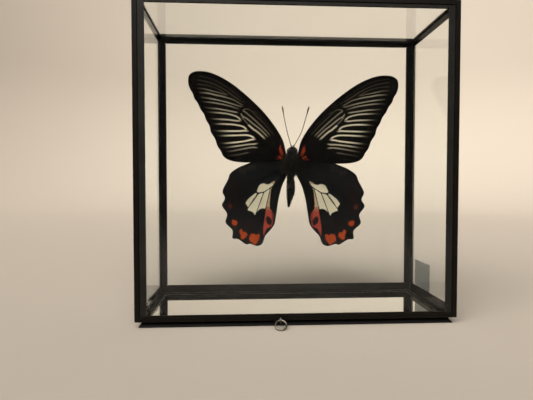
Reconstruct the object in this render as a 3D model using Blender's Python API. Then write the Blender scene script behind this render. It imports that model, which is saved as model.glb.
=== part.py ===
"""A butterfly mounted inside a standing glass box.

The box is a hood of five glass panes held by black metal angle strips. It stands on a thin
plinth with a mirror let into its top. A loose wire ring hangs from an eye on the front bottom
strip. The butterfly is glued by the underside of its thorax to the back pane, back to front.

Units are metres, +Z is up and the front faces -Y. The origin is the centre of the plinth's
underside. Left and right are as seen from the front.
"""

import math

import bmesh
import bpy
from mathutils import Vector

# Clearance between two separate pieces that touch
GAP = 0.0003

# The case, outside
CASE_WIDTH = 0.150
CASE_DEPTH = 0.053
HOOD_HEIGHT = 0.148
PLINTH_HEIGHT = 0.003
FRONT_Y = -CASE_DEPTH / 2

# Metal angle strips: the leg of a strip is how far it reaches in from the case's edge
STRIP_THICKNESS = 0.0009
POST_FRONT_LEG = 0.0054
TOP_FRONT_LEG = 0.0038
BOTTOM_FRONT_LEG = 0.0029
POST_BACK_LEG = 0.0054
TOP_BACK_LEG = 0.0050
BOTTOM_BACK_LEG = 0.0048
POST_SIDE_LEG = 0.0040
RAIL_SIDE_LEG = 0.0048
LONG_TOP_LEG = 0.0052
SHORT_TOP_LEG = 0.0031
BEARING_LEG = 0.0045

# The front legs have a groove between a proud outer lip and a lower inner strip
LIP_WIDTH = 0.0021
GROOVE_WIDTH = 0.0005
GROOVE_DEPTH = 0.0005
INNER_STEP = 0.00025

GLASS_THICKNESS = 0.0020

# The plinth's edge: upright to the rim height, then bevelled in to the top
PLINTH_INSET = 0.0015
PLINTH_RIM_HEIGHT = 0.0005
PLINTH_TOP_INSET = 0.0033
MIRROR_INSET = 0.00485
MIRROR_TOP = 0.0034
MIRROR_THICKNESS = 0.0011

# The loose ring and its eye
RING_X = -0.0085
RING_PIVOT_OUT = 0.00165
RING_PIVOT_Z = 0.0035
RING_RADIUS = 0.0025
RING_WIRE = 0.00045
EYE_RADIUS = 0.00105
EYE_WIRE = 0.0003
RING_FLOOR_CLEARANCE = 0.00002

# The blank label on the right pane: its back and front edges are measured from the case's front
LABEL_DEPTH_RANGE = (0.0256, 0.0442)
LABEL_Z_RANGE = (0.0083, 0.0231)
LABEL_THICKNESS = 0.0002

# The butterfly: its centre is on the thorax, level with the wing roots
BUTTERFLY_X = 0.0018
BUTTERFLY_Z = 0.081
WING_PLANE = 0.0461
WING_THICKNESS = 0.00045
WING_LIFT = 0.0013
WING_SPAN = 0.060
WING_RINGS = 3
# The two sides were set a little differently: width factor, and rise for each unit outwards
WING_STRETCH = {"left": 0.98, "right": 1.02}
WING_RISE = {"left": 0.01, "right": -0.01}

# Wing outlines in millimetres from the butterfly's centre, outwards and up. The first point of
# each is on the root, and the outline runs along the leading edge first.
FOREWING_OUTLINE = (
    (3.5, 0.5), (3.5, 4.0), (5.0, 9.3), (8.0, 14.9), (12.2, 20.7), (17.1, 26.3), (23.0, 31.9),
    (29.4, 37.2), (35.6, 41.6), (41.8, 44.9), (47.7, 46.9), (52.4, 47.3), (56.0, 46.8),
    (58.6, 45.0), (59.3, 42.3), (59.0, 39.5), (57.4, 35.2), (54.6, 30.2), (51.2, 24.5),
    (48.8, 19.6), (46.6, 14.0), (43.8, 8.1), (41.7, 4.0), (39.4, 0.2), (36.0, -1.8),
    (30.0, -2.8), (21.0, -2.8), (10.0, -2.2), (3.6, -1.6),
)
FOREWING_HUB = (20.0, 10.0)
HINDWING_OUTLINE = (
    (3.4, -5.0), (3.6, -2.4), (9.0, 0.8), (16.0, 1.0), (24.6, -3.0), (31.1, -5.8), (35.4, -9.2),
    (37.0, -13.2), (40.5, -19.3), (39.1, -23.2), (40.8, -27.2), (37.9, -32.0), (38.7, -37.0),
    (34.8, -41.2), (34.7, -45.8), (31.4, -46.4), (26.8, -49.3), (24.4, -49.0), (20.3, -50.2),
    (17.3, -48.8), (15.5, -44.4), (12.9, -41.5), (10.3, -38.0), (9.2, -33.0), (7.9, -24.5),
    (6.3, -18.0), (5.0, -14.4), (3.2, -10.8), (2.9, -8.0),
)
HINDWING_HUB = (15.0, -16.0)
OUTLINE_STEPS = 2

# The body's cross sections in millimetres: height above the butterfly's centre, half width,
# half thickness, and sideways shift
BODY_SECTIONS = (
    (6.3, 0.5, 0.4, 0.3), (5.6, 1.5, 1.2, 0.3), (4.5, 2.5, 1.9, 0.2), (3.3, 2.2, 1.9, 0.1),
    (2.5, 1.8, 1.8, 0.1), (0.9, 2.9, 2.9, 0.0), (-2.0, 3.2, 3.3, 0.0), (-5.0, 3.0, 3.2, -0.1),
    (-8.0, 2.2, 2.5, -0.2), (-9.7, 1.7, 1.7, -0.4), (-11.6, 2.0, 2.1, -0.4),
    (-15.0, 2.3, 2.4, -0.5), (-18.0, 2.3, 2.4, -0.7), (-21.5, 1.9, 2.0, -1.0),
    (-24.6, 1.2, 1.3, -1.5), (-27.0, 0.5, 0.6, -1.8), (-27.6, 0.2, 0.2, -1.9),
)
BODY_PLANE = 0.0452
BODY_SIDES = 16
SECTION_STEPS = 2

# Antennae: points in millimetres from the root to the clubbed tip
ANTENNA_PATHS = {
    "left": ((0.6, 6.6), (2.7, 13.8), (4.3, 20.9), (5.2, 25.9), (5.7, 28.6)),
    "right": ((0.9, 6.5), (4.1, 12.2), (5.7, 15.8), (7.5, 21.9), (9.4, 28.6)),
}
ANTENNA_RADIUS = 0.0002
CLUB_RADIUS = 0.0004
CLUB_LENGTH = 0.15
ANTENNA_PLANE = 0.0440

# Legs folded behind the thorax: points in millimetres from the butterfly's centre
LEG_PATHS = {
    "front": ((2.4, 1.0), (8.0, 3.6), (6.6, 0.2)),
    "middle": ((2.6, -2.6), (10.6, -1.2), (8.4, -5.2)),
    "hind": ((2.4, -6.2), (10.6, -8.4), (8.8, -17.0)),
}
LEG_RADIUS = 0.00025
LEG_PLANE = 0.0485
LEG_FOOT_SCALE = 0.6
ROD_RESOLUTION = 2

DAB_RADIUS = 0.0030
DAB_TAPER = 0.8
DAB_DROP = 0.0020

MILLIMETRE = 0.001
SMOOTH_ANGLE = 50
SIDES = {"left": -1, "right": 1}


def clear_scene():
    for old in list(bpy.data.objects):
        bpy.data.objects.remove(old)


def principled(name, colour, roughness, metallic=0.0, transmission=0.0):
    material = bpy.data.materials.new(name)
    material.use_nodes = True
    shader = material.node_tree.nodes["Principled BSDF"]
    shader.inputs["Base Color"].default_value = (*colour, 1.0)
    shader.inputs["Roughness"].default_value = roughness
    shader.inputs["Metallic"].default_value = metallic
    shader.inputs["Transmission Weight"].default_value = transmission
    return material


def make_materials():
    return {
        "metal": principled("black_metal", (0.012, 0.011, 0.010), 0.35, metallic=0.8),
        "glass": principled("clear_glass", (0.95, 0.98, 0.96), 0.0, transmission=1.0),
        "mirror": principled("mirror", (0.80, 0.82, 0.81), 0.02, metallic=1.0),
        "board": principled("black_board", (0.010, 0.010, 0.010), 0.45),
        "steel": principled("bright_steel", (0.62, 0.60, 0.56), 0.20, metallic=1.0),
        "label": principled("grey_label", (0.32, 0.33, 0.33), 0.60),
        "forewing": principled("forewing_scales", (0.022, 0.017, 0.014), 0.70),
        "hindwing": principled("hindwing_scales", (0.010, 0.011, 0.014), 0.60),
        "body": principled("insect_body", (0.018, 0.013, 0.010), 0.80),
        "horn": principled("insect_horn", (0.010, 0.008, 0.007), 0.40),
        "glue": principled("clear_glue", (0.85, 0.85, 0.80), 0.15, transmission=0.9),
    }


def add_object(name, data, parent=None, place=(0.0, 0.0, 0.0)):
    item = bpy.data.objects.new(name, data)
    item.location = place
    item.parent = parent
    bpy.context.collection.objects.link(item)
    return item


def add_mesh_object(name, bm, material, parent=None, place=(0.0, 0.0, 0.0), smooth=False):
    """Turns a bmesh into an object, with its faces turned outwards."""
    bmesh.ops.recalc_face_normals(bm, faces=bm.faces)
    mesh = bpy.data.meshes.new(name)
    bm.to_mesh(mesh)
    bm.free()
    mesh.materials.append(material)
    if smooth:
        mesh.shade_smooth()
        mesh.set_sharp_from_angle(angle=math.radians(SMOOTH_ANGLE))
    return add_object(name, mesh, parent, place)


def add_box(name, low, high, material, parent=None):
    """A box between two corners, with its origin at its centre."""
    low, high = Vector(low), Vector(high)
    bm = bmesh.new()
    bmesh.ops.create_cube(bm, size=1.0)
    bmesh.ops.scale(bm, vec=high - low, verts=bm.verts)
    return add_mesh_object(name, bm, material, parent, (low + high) / 2)


def leg_width(axis, face, side, strip_side):
    """How far a strip reaches in over one face of the hood.

    axis is the way the strip runs, face and side say which face, and strip_side says which of
    that face's two strips it is: -1 for the lower, left or front one.
    """
    if face == 1 and side < 0:
        rail = TOP_FRONT_LEG if strip_side > 0 else BOTTOM_FRONT_LEG
        return POST_FRONT_LEG if axis == 2 else rail
    if face == 1:
        rail = TOP_BACK_LEG if strip_side > 0 else BOTTOM_BACK_LEG
        return POST_BACK_LEG if axis == 2 else rail
    if face == 0:
        return RAIL_SIDE_LEG if axis == 1 else POST_SIDE_LEG
    if side < 0:
        return BEARING_LEG
    return LONG_TOP_LEG if axis == 0 else SHORT_TOP_LEG


def strip_profile(first_leg, second_leg, grooved):
    """The L section: (distance in from the first face, distance in from the second face)."""
    if grooved:
        outside = [
            (0.0, LIP_WIDTH),
            (GROOVE_DEPTH, LIP_WIDTH),
            (GROOVE_DEPTH, LIP_WIDTH + GROOVE_WIDTH),
            (INNER_STEP, LIP_WIDTH + GROOVE_WIDTH),
            (INNER_STEP, first_leg),
        ]
    else:
        outside = [(0.0, first_leg)]
    return [
        (0.0, 0.0),
        *outside,
        (STRIP_THICKNESS, first_leg),
        (STRIP_THICKNESS, STRIP_THICKNESS),
        (second_leg, STRIP_THICKNESS),
        (second_leg, 0.0),
    ]


def hood_face(axis, side):
    """Where the hood's outer face lies along an axis, from the middle of its underside."""
    if axis == 0:
        return side * CASE_WIDTH / 2
    if axis == 1:
        return side * CASE_DEPTH / 2
    return HOOD_HEIGHT if side > 0 else 0.0


def cut_end(bm, corner, keep):
    """Cuts a strip by the plane through a corner of the hood, and keeps the side that keep points to."""
    keep = keep.normalized()
    cut = bmesh.ops.bisect_plane(
        bm,
        geom=[*bm.verts, *bm.edges, *bm.faces],
        plane_co=corner + keep * GAP / 2,
        plane_no=keep,
        clear_inner=True,
        dist=1e-8,
    )
    edges = [item for item in cut["geom_cut"] if isinstance(item, bmesh.types.BMEdge)]
    bmesh.ops.contextual_create(bm, geom=edges)


def add_strip(name, axis, sides, material, hood):
    """Adds one angle strip along an edge of the hood, mitred to its four neighbours.

    sides gives the hood's face, -1 or 1, for the two axes that the strip doesn't run along.
    """
    first, second = {0: (1, 2), 1: (0, 2), 2: (1, 0)}[axis]
    first_leg = leg_width(axis, first, sides[first], sides[second])
    second_leg = leg_width(axis, second, sides[second], sides[first])
    grooved = first == 1 and sides[first] < 0
    bm = bmesh.new()
    loops = []
    for end in (-1, 1):
        loop = []
        for from_first, from_second in strip_profile(first_leg, second_leg, grooved):
            point = Vector((0.0, 0.0, 0.0))
            point[axis] = hood_face(axis, end)
            point[first] = hood_face(first, sides[first]) - sides[first] * from_first
            point[second] = hood_face(second, sides[second]) - sides[second] * from_second
            loop.append(bm.verts.new(point))
        loops.append(loop)
    count = len(loops[0])
    for i in range(count):
        j = (i + 1) % count
        bm.faces.new((loops[0][i], loops[0][j], loops[1][j], loops[1][i]))
    bm.faces.new(loops[0])
    bm.faces.new(loops[1])
    for end in (-1, 1):
        corner = Vector((0.0, 0.0, 0.0))
        corner[axis] = hood_face(axis, end)
        corner[first] = hood_face(first, sides[first])
        corner[second] = hood_face(second, sides[second])
        for face, other, own in ((first, second, first_leg), (second, first, second_leg)):
            neighbour = leg_width(other, face, sides[face], end)
            keep = Vector((0.0, 0.0, 0.0))
            keep[axis] = -end * own
            keep[other] = sides[other] * neighbour
            cut_end(bm, corner, keep)
    return add_mesh_object(name, bm, material, hood)


def add_hood_strips(material, hood):
    words = {0: {-1: "left", 1: "right"}, 1: {-1: "front", 1: "back"}, 2: {-1: "bottom", 1: "top"}}
    for one in (-1, 1):
        for two in (-1, 1):
            add_strip(f"post_{words[1][one]}_{words[0][two]}", 2, {1: one, 0: two}, material, hood)
            add_strip(f"rail_{words[1][one]}_{words[2][two]}", 0, {1: one, 2: two}, material, hood)
            add_strip(f"rail_{words[0][one]}_{words[2][two]}", 1, {0: one, 2: two}, material, hood)


def add_panes(material, hood):
    """The front and back panes reach the side strips, and the side and top panes fit between."""
    outer = STRIP_THICKNESS + GAP
    inner = outer + GLASS_THICKNESS
    half_width = CASE_WIDTH / 2
    half_depth = CASE_DEPTH / 2
    low, high = outer, HOOD_HEIGHT - outer
    under_top = high - GLASS_THICKNESS - GAP
    wide = half_width - outer
    for name, side in (("pane_front", -1), ("pane_back", 1)):
        ends = sorted((side * (half_depth - outer), side * (half_depth - inner)))
        add_box(name, (-wide, ends[0], low), (wide, ends[1], high), material, hood)
    deep = half_depth - inner - GAP
    for name, side in (("pane_left", -1), ("pane_right", 1)):
        ends = sorted((side * wide, side * (half_width - inner)))
        add_box(name, (ends[0], -deep, low), (ends[1], deep, under_top), material, hood)
    add_box("pane_top", (-wide, -deep, high - GLASS_THICKNESS), (wide, deep, high), material, hood)


def add_plinth(board, mirror):
    """A bevelled board with a shallow recess for the mirror."""
    top = PLINTH_HEIGHT - GAP
    recess_inset = MIRROR_INSET - GAP
    recess_floor = MIRROR_TOP - MIRROR_THICKNESS - GAP
    levels = (
        (PLINTH_INSET, 0.0),
        (PLINTH_INSET, PLINTH_RIM_HEIGHT),
        (PLINTH_TOP_INSET, top),
        (recess_inset, top),
        (recess_inset, recess_floor),
    )
    bm = bmesh.new()
    loops = []
    for inset, z in levels:
        x, y = CASE_WIDTH / 2 - inset, CASE_DEPTH / 2 - inset
        loops.append([bm.verts.new(p) for p in ((-x, -y, z), (x, -y, z), (x, y, z), (-x, y, z))])
    for lower, upper in zip(loops, loops[1:]):
        for i in range(4):
            j = (i + 1) % 4
            bm.faces.new((lower[i], lower[j], upper[j], upper[i]))
    bm.faces.new(loops[0])
    bm.faces.new(loops[-1])
    add_mesh_object("plinth", bm, board)
    x, y = CASE_WIDTH / 2 - MIRROR_INSET, CASE_DEPTH / 2 - MIRROR_INSET
    low = (-x, -y, MIRROR_TOP - MIRROR_THICKNESS)
    add_box("mirror_floor", low, (x, y, MIRROR_TOP), mirror)


def torus(centre, major, minor, around, across, axis):
    """A closed torus round a line through its centre along an axis: 0 for X or 2 for Z."""
    bm = bmesh.new()
    rows = []
    for i in range(around):
        turn = 2 * math.pi * i / around
        row = []
        for j in range(across):
            tilt = 2 * math.pi * j / across
            reach = major + minor * math.cos(tilt)
            flat = (reach * math.cos(turn), reach * math.sin(turn))
            height = minor * math.sin(tilt)
            point = (height, *flat) if axis == 0 else (*flat, height)
            row.append(bm.verts.new(Vector(centre) + Vector(point)))
        rows.append(row)
    for i in range(around):
        for j in range(across):
            k, m = (i + 1) % around, (j + 1) % across
            bm.faces.new((rows[i][j], rows[k][j], rows[k][m], rows[i][m]))
    return bm


def add_ring(material):
    """The eye stands out from the front lip, and the ring leans from it down to the table."""
    place = (RING_X, FRONT_Y - RING_PIVOT_OUT, RING_PIVOT_Z)
    eye = torus((0.0, 0.0, 0.0), EYE_RADIUS, EYE_WIRE, around=20, across=8, axis=0)
    add_mesh_object("ring_eye", eye, material, place=place, smooth=True)
    pivot = add_object("ring_pivot", None, place=place)
    drop = RING_PIVOT_Z - RING_WIRE - RING_FLOOR_CLEARANCE
    pivot.rotation_euler.x = math.asin(drop / (2 * RING_RADIUS))
    ring = torus((0.0, -RING_RADIUS, 0.0), RING_RADIUS, RING_WIRE, around=32, across=10, axis=2)
    add_mesh_object("ring", ring, material, pivot, smooth=True)


def add_label(material):
    """A small square sticker on the outside of the right pane."""
    x = CASE_WIDTH / 2 - STRIP_THICKNESS
    low = (x, FRONT_Y + LABEL_DEPTH_RANGE[0], LABEL_Z_RANGE[0])
    high = (x + LABEL_THICKNESS, FRONT_Y + LABEL_DEPTH_RANGE[1], LABEL_Z_RANGE[1])
    add_box("label", low, high, material)


def smooth_points(points, steps, closed):
    """Points along a smooth curve through the given ones, with steps points from each to the next."""
    points = [Vector(p) for p in points]
    count = len(points)
    found = []
    for i in range(count if closed else count - 1):
        if closed:
            a, b, c, d = (points[(i + k) % count] for k in (-1, 0, 1, 2))
        else:
            a, b, c, d = (points[min(max(i + k, 0), count - 1)] for k in (-1, 0, 1, 2))
        for step in range(steps):
            t = step / steps
            found.append(
                0.5 * (2 * b + (c - a) * t + (2 * a - 5 * b + 4 * c - d) * t**2)
                + 0.5 * (3 * b - 3 * c + d - a) * t**3
            )
    if not closed:
        found.append(points[-1])
    return found


def set_wing(point, word):
    """Moves a point of the even outline to where the wing of that side was set."""
    return Vector((point.x * WING_STRETCH[word], point.y + point.x * WING_RISE[word]))


def butterfly_point(side, out, up, depth):
    """A point from millimetres outwards and up from the butterfly, and metres behind the case's front."""
    return Vector((side * out * MILLIMETRE, depth, up * MILLIMETRE))


def wing_depth(out, layer):
    """Depth behind the front of a wing's middle surface, which curls to the front at the tip."""
    lift = WING_LIFT * (out * MILLIMETRE / WING_SPAN) ** 2
    return WING_PLANE - lift + layer * (WING_THICKNESS + GAP + 0.00005)


def add_wing(kind, word, outline, hub, layer, material, butterfly):
    """A thin curled plate: rings of points from the hub out to the outline, on both faces."""
    side = SIDES[word]
    edge = [set_wing(p, word) for p in smooth_points(outline, OUTLINE_STEPS, closed=True)]
    hub = set_wing(Vector(hub), word)
    bm = bmesh.new()
    faces = []
    for offset in (-WING_THICKNESS / 2, WING_THICKNESS / 2):
        rings = []
        for ring in range(1, WING_RINGS + 1):
            row = []
            for p in (hub.lerp(q, ring / WING_RINGS) for q in edge):
                row.append(bm.verts.new(butterfly_point(side, p.x, p.y, wing_depth(p.x, layer) + offset)))
            rings.append(row)
        centre = bm.verts.new(butterfly_point(side, hub.x, hub.y, wing_depth(hub.x, layer) + offset))
        faces.append((centre, rings))
    count = len(edge)
    for centre, rings in faces:
        for i in range(count):
            j = (i + 1) % count
            bm.faces.new((centre, rings[0][i], rings[0][j]))
            for inner, outer in zip(rings, rings[1:]):
                bm.faces.new((inner[i], inner[j], outer[j], outer[i]))
    front, back = faces[0][1][-1], faces[1][1][-1]
    for i in range(count):
        j = (i + 1) % count
        bm.faces.new((front[i], front[j], back[j], back[i]))
    return add_mesh_object(f"{kind}_{word}", bm, material, butterfly, smooth=True)


def add_body(material, butterfly):
    """Head, thorax and abdomen as one turned form with oval sections."""
    sections = smooth_points(BODY_SECTIONS, SECTION_STEPS, closed=False)
    bm = bmesh.new()
    rings = []
    for up, half_width, half_depth, shift in sections:
        ring = []
        for k in range(BODY_SIDES):
            turn = 2 * math.pi * k / BODY_SIDES
            depth = BODY_PLANE + half_depth * MILLIMETRE * math.sin(turn)
            ring.append(bm.verts.new(butterfly_point(1, shift + half_width * math.cos(turn), up, depth)))
        rings.append(ring)
    for upper, lower in zip(rings, rings[1:]):
        for k in range(BODY_SIDES):
            m = (k + 1) % BODY_SIDES
            bm.faces.new((upper[k], upper[m], lower[m], lower[k]))
    bm.faces.new(rings[0])
    bm.faces.new(rings[-1])
    return add_mesh_object("butterfly_body", bm, material, butterfly, smooth=True)


def add_rod(name, points, radii, material, parent):
    """A round rod along the points, with a radius for each, as a bevelled curve with filled caps."""
    curve = bpy.data.curves.new(name, "CURVE")
    curve.dimensions = "3D"
    curve.bevel_depth = 1.0
    curve.bevel_resolution = ROD_RESOLUTION
    curve.use_fill_caps = True
    spline = curve.splines.new("POLY")
    spline.points.add(len(points) - 1)
    for spot, place, radius in zip(spline.points, points, radii):
        spot.co = (*place, 1.0)
        spot.radius = radius
    curve.materials.append(material)
    return add_object(name, curve, parent)


def add_antenna(word, side, material, butterfly):
    """A fine rod that swells to a small club at its tip."""
    flat = smooth_points(ANTENNA_PATHS[word], 4, closed=False)
    points = [butterfly_point(side, p.x, p.y, ANTENNA_PLANE) for p in flat]
    radii = []
    for i in range(len(points)):
        swell = max(0.0, 1 - (1 - i / (len(points) - 1)) / CLUB_LENGTH)
        radii.append(ANTENNA_RADIUS + (CLUB_RADIUS - ANTENNA_RADIUS) * swell)
    add_rod(f"antenna_{word}", points, radii, material, butterfly)


def add_legs(material, butterfly):
    for place, path in LEG_PATHS.items():
        for word, side in SIDES.items():
            flat = smooth_points(path, 5, closed=False)
            points = [butterfly_point(side, p.x, p.y, LEG_PLANE) for p in flat]
            last = len(points) - 1
            radii = [LEG_RADIUS * (1 - (1 - LEG_FOOT_SCALE) * i / last) for i in range(last + 1)]
            add_rod(f"leg_{place}_{word}", points, radii, material, butterfly)


def add_glue_dab(material, butterfly):
    """A flat dab between the thorax and the back pane."""
    near = BODY_PLANE + max(section[2] for section in BODY_SECTIONS) * MILLIMETRE + GAP
    far = CASE_DEPTH - STRIP_THICKNESS - GAP - GLASS_THICKNESS - GAP
    bm = bmesh.new()
    bmesh.ops.create_cone(
        bm, cap_ends=True, segments=24, radius1=DAB_RADIUS, radius2=DAB_RADIUS * DAB_TAPER, depth=far - near
    )
    place = (0.0, (near + far) / 2, -DAB_DROP)
    dab = add_mesh_object("glue_dab", bm, material, butterfly, place, smooth=True)
    dab.rotation_euler.x = math.pi / 2


def add_butterfly(materials):
    butterfly = add_object("butterfly", None, place=(BUTTERFLY_X, FRONT_Y, BUTTERFLY_Z))
    for word, side in SIDES.items():
        add_wing("forewing", word, FOREWING_OUTLINE, FOREWING_HUB, 0, materials["forewing"], butterfly)
        add_wing("hindwing", word, HINDWING_OUTLINE, HINDWING_HUB, 1, materials["hindwing"], butterfly)
        add_antenna(word, side, materials["horn"], butterfly)
    add_body(materials["body"], butterfly)
    add_legs(materials["horn"], butterfly)
    add_glue_dab(materials["glue"], butterfly)


def add_hood(materials):
    hood = add_object("hood", None, place=(0.0, 0.0, PLINTH_HEIGHT))
    add_hood_strips(materials["metal"], hood)
    add_panes(materials["glass"], hood)


def main():
    clear_scene()
    materials = make_materials()
    add_plinth(materials["board"], materials["mirror"])
    add_hood(materials)
    add_ring(materials["steel"])
    add_label(materials["label"])
    add_butterfly(materials)


main()
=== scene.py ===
"""Looks for the butterfly in a standing glass box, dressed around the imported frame.

Sizes are in metres unless a name or comment says millimetres. All that is drawn on the wings' flat
plan, and the paths and planes of body, hair and limbs, are in millimetres: outwards and up from the
butterfly's centre, and back from the case's front.
"""

import math
from itertools import product

import bpy
import numpy as np
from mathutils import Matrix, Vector, geometry, noise

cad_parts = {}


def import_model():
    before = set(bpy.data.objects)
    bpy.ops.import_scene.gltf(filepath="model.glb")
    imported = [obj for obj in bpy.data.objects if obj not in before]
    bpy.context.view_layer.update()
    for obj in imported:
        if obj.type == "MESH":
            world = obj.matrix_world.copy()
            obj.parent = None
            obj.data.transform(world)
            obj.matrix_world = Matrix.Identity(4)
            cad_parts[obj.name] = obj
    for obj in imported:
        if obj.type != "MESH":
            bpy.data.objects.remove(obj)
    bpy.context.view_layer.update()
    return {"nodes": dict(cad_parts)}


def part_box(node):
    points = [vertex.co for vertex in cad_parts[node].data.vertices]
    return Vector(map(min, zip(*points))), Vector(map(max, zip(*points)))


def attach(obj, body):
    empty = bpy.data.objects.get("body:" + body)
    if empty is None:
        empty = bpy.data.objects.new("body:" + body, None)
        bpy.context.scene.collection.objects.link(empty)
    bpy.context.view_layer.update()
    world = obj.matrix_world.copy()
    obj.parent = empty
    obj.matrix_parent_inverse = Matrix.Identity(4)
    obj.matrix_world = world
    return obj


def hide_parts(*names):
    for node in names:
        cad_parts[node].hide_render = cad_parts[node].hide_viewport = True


MILLIMETRE = 0.001
SIDES = {"left": -1, "right": 1}
RANDOM_SEED = 11

# The case and the butterfly's place in it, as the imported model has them
CASE_WIDTH = 0.150
CASE_DEPTH = 0.053
FRONT_Y = -CASE_DEPTH / 2
GROOVE_INSET = 0.0026
BUTTERFLY_X = 0.0018
BUTTERFLY_Z = 0.081
BODY_PLANE = 0.0452
WING_PLANE = 0.0461
WING_LIFT = 0.0013
WING_SPAN_MM = 60.0
LAYER_GAP = 0.0008
# How each wing is set: its stretch outwards, its tilt, and how far its pattern sits up, in millimetres
WING_SET = {
    "forewing": {"left": (0.977, 0.01, -0.47), "right": (1.022, -0.01, 0.47)},
    "hindwing": {"left": (0.970, 0.01, 0.0), "right": (1.030, -0.01, 0.0)},
}

# Wing outlines, roots first and then along the leading edge
FOREWING_OUTLINE = (
    (2.6, 0.4), (3.5, 3.4), (5.0, 9.3), (8.0, 14.9), (12.2, 20.7), (17.1, 26.3), (23.0, 31.9),
    (29.4, 37.2), (35.6, 41.6), (41.8, 44.9), (47.7, 46.9), (52.4, 47.3), (56.0, 46.8),
    (58.6, 45.0), (59.3, 42.3), (59.1, 39.8), (58.2, 37.2), (56.7, 34.8), (55.9, 32.2), (53.9, 29.5),
    (52.5, 26.4), (50.5, 23.6), (49.3, 20.4), (47.4, 17.2), (46.6, 13.7), (44.3, 10.0), (42.9, 6.0),
    (41.1, 3.4), (39.4, 0.2), (36.0, -1.8), (30.0, -2.8), (21.0, -2.8), (10.0, -2.2), (2.7, -1.6),
)
HINDWING_OUTLINE = (
    (2.4, -5.0), (2.6, -2.4), (9.0, 0.8), (16.0, 1.0), (24.6, -3.0), (31.0, -5.6), (35.8, -9.0),
    (37.3, -12.6), (40.4, -19.0), (39.1, -23.2), (40.8, -27.2), (37.9, -32.0), (38.7, -37.0),
    (34.8, -41.2), (34.7, -45.8), (31.4, -46.4), (26.8, -49.3), (24.4, -49.0), (20.3, -50.2),
    (17.3, -48.8), (15.5, -44.4), (12.9, -41.5), (10.3, -38.0), (9.2, -33.0), (7.9, -24.5),
    (6.3, -18.0), (5.0, -14.4), (3.2, -10.8), (2.4, -8.0),
)

# Veins, from the root or the discal cell out to the margin
FOREWING_VEINS = {
    "costa": ((3.4, 1.5), (5.2, 8.4), (8.3, 14.4), (12.6, 20.2), (17.5, 25.8), (23.3, 31.4)),
    "subcosta": ((4.4, 3.0), (5.9, 8.0), (8.9, 14.8), (14.7, 22.7), (20.5, 28.8), (25.1, 33.4), (28.9, 36.6)),
    "radius": ((3.6, 1.0), (5.1, 4.0), (6.4, 8.0), (10.0, 14.1), (13.4, 19.0), (17.0, 22.6), (20.3, 25.5),
               (23.4, 27.9), (26.5, 29.0)),
    "r1": ((17.8, 23.6), (22.8, 29.1), (27.4, 33.4), (32.0, 37.0), (36.5, 41.2)),
    "r2": ((22.8, 27.7), (27.4, 32.2), (32.0, 36.0), (37.8, 40.2), (42.8, 43.0), (48.4, 45.9)),
    "r3": ((26.5, 29.0), (27.8, 30.7), (30.9, 33.5), (34.7, 36.2), (39.7, 39.0), (45.5, 41.6), (56.0, 45.4)),
    "r4": ((26.5, 29.0), (30.4, 31.6), (33.9, 33.5), (36.1, 34.4), (39.7, 37.0), (43.8, 38.9), (49.0, 40.3),
           (58.6, 41.6)),
    "r5": ((36.1, 34.4), (39.7, 35.3), (44.8, 36.3), (50.4, 36.8), (57.4, 37.0)),
    "cell_end": ((26.5, 29.0), (28.4, 27.3), (30.0, 25.3), (29.7, 23.3)),
    "m1": ((29.0, 26.7), (33.2, 28.6), (37.8, 30.4), (43.4, 31.7), (50.8, 32.1), (55.3, 32.2)),
    "m2": ((29.8, 24.2), (33.6, 25.0), (37.8, 25.8), (43.4, 26.2), (48.1, 26.2), (52.0, 26.4)),
    "m3": ((28.7, 20.4), (34.1, 19.8), (39.8, 20.0), (45.0, 20.2), (49.0, 20.3)),
    "cu1": ((24.0, 14.5), (28.4, 14.0), (34.2, 13.8), (39.9, 13.7), (46.2, 13.6)),
    "cu2": ((19.0, 9.8), (24.5, 8.7), (28.4, 8.0), (33.4, 7.1), (38.4, 6.4), (42.6, 6.0)),
    "cubitus": ((29.7, 23.3), (28.5, 20.6), (26.0, 17.2), (24.0, 14.5), (20.7, 11.4), (16.6, 8.8),
                (11.7, 5.9), (5.8, 2.2), (3.4, 0.8)),
    "fold": ((15.0, 6.6), (18.9, 6.9), (24.5, 6.7), (28.4, 6.0), (33.4, 5.0), (40.2, 3.2)),
    "anal": ((3.4, 0.2), (5.8, 1.1), (13.7, 1.9), (21.5, 1.7), (26.6, 1.2), (32.3, 0.2), (37.6, -0.8)),
}
HINDWING_VEINS = {
    "radius1": ((3.0, -4.6), (11.3, -4.2), (19.9, -4.4), (27.8, -6.6), (33.1, -9.4), (36.6, -12.6)),
    "sector": ((3.0, -5.4), (11.3, -8.4), (17.2, -11.0), (22.5, -12.8), (27.9, -14.2),
               (34.5, -16.9), (40.0, -19.3)),
    "cell_top": ((11.3, -8.4), (14.6, -12.6), (17.2, -14.3), (19.6, -15.5)),
    "cell_end": ((19.6, -15.5), (20.7, -17.1), (20.7, -19.3), (19.2, -20.0)),
    "m1": ((20.4, -16.8), (26.2, -19.8), (31.2, -22.6), (36.2, -25.2), (40.3, -27.2)),
    "m2": ((20.7, -19.3), (24.6, -22.5), (29.6, -26.5), (33.9, -31.5), (38.3, -37.0)),
    "m3": ((19.2, -20.0), (22.4, -24.5), (26.0, -29.3), (30.4, -37.6), (34.4, -45.6)),
    "cu1": ((16.3, -19.5), (18.2, -24.6), (20.4, -30.1), (23.8, -39.0), (26.7, -49.0)),
    "cu2": ((12.4, -16.7), (13.9, -23.2), (15.4, -30.0), (17.3, -39.4), (20.2, -49.8)),
    "cubitus": ((3.0, -6.0), (7.3, -11.6), (11.85, -16.6), (13.95, -18.0), (15.35, -18.9), (16.65, -19.6),
                (18.55, -19.9), (19.45, -20.2)),
    "anal": ((3.0, -7.2), (8.0, -13.6), (10.2, -20.0), (11.6, -28.0), (11.4, -34.0), (12.9, -41.2)),
}

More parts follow.
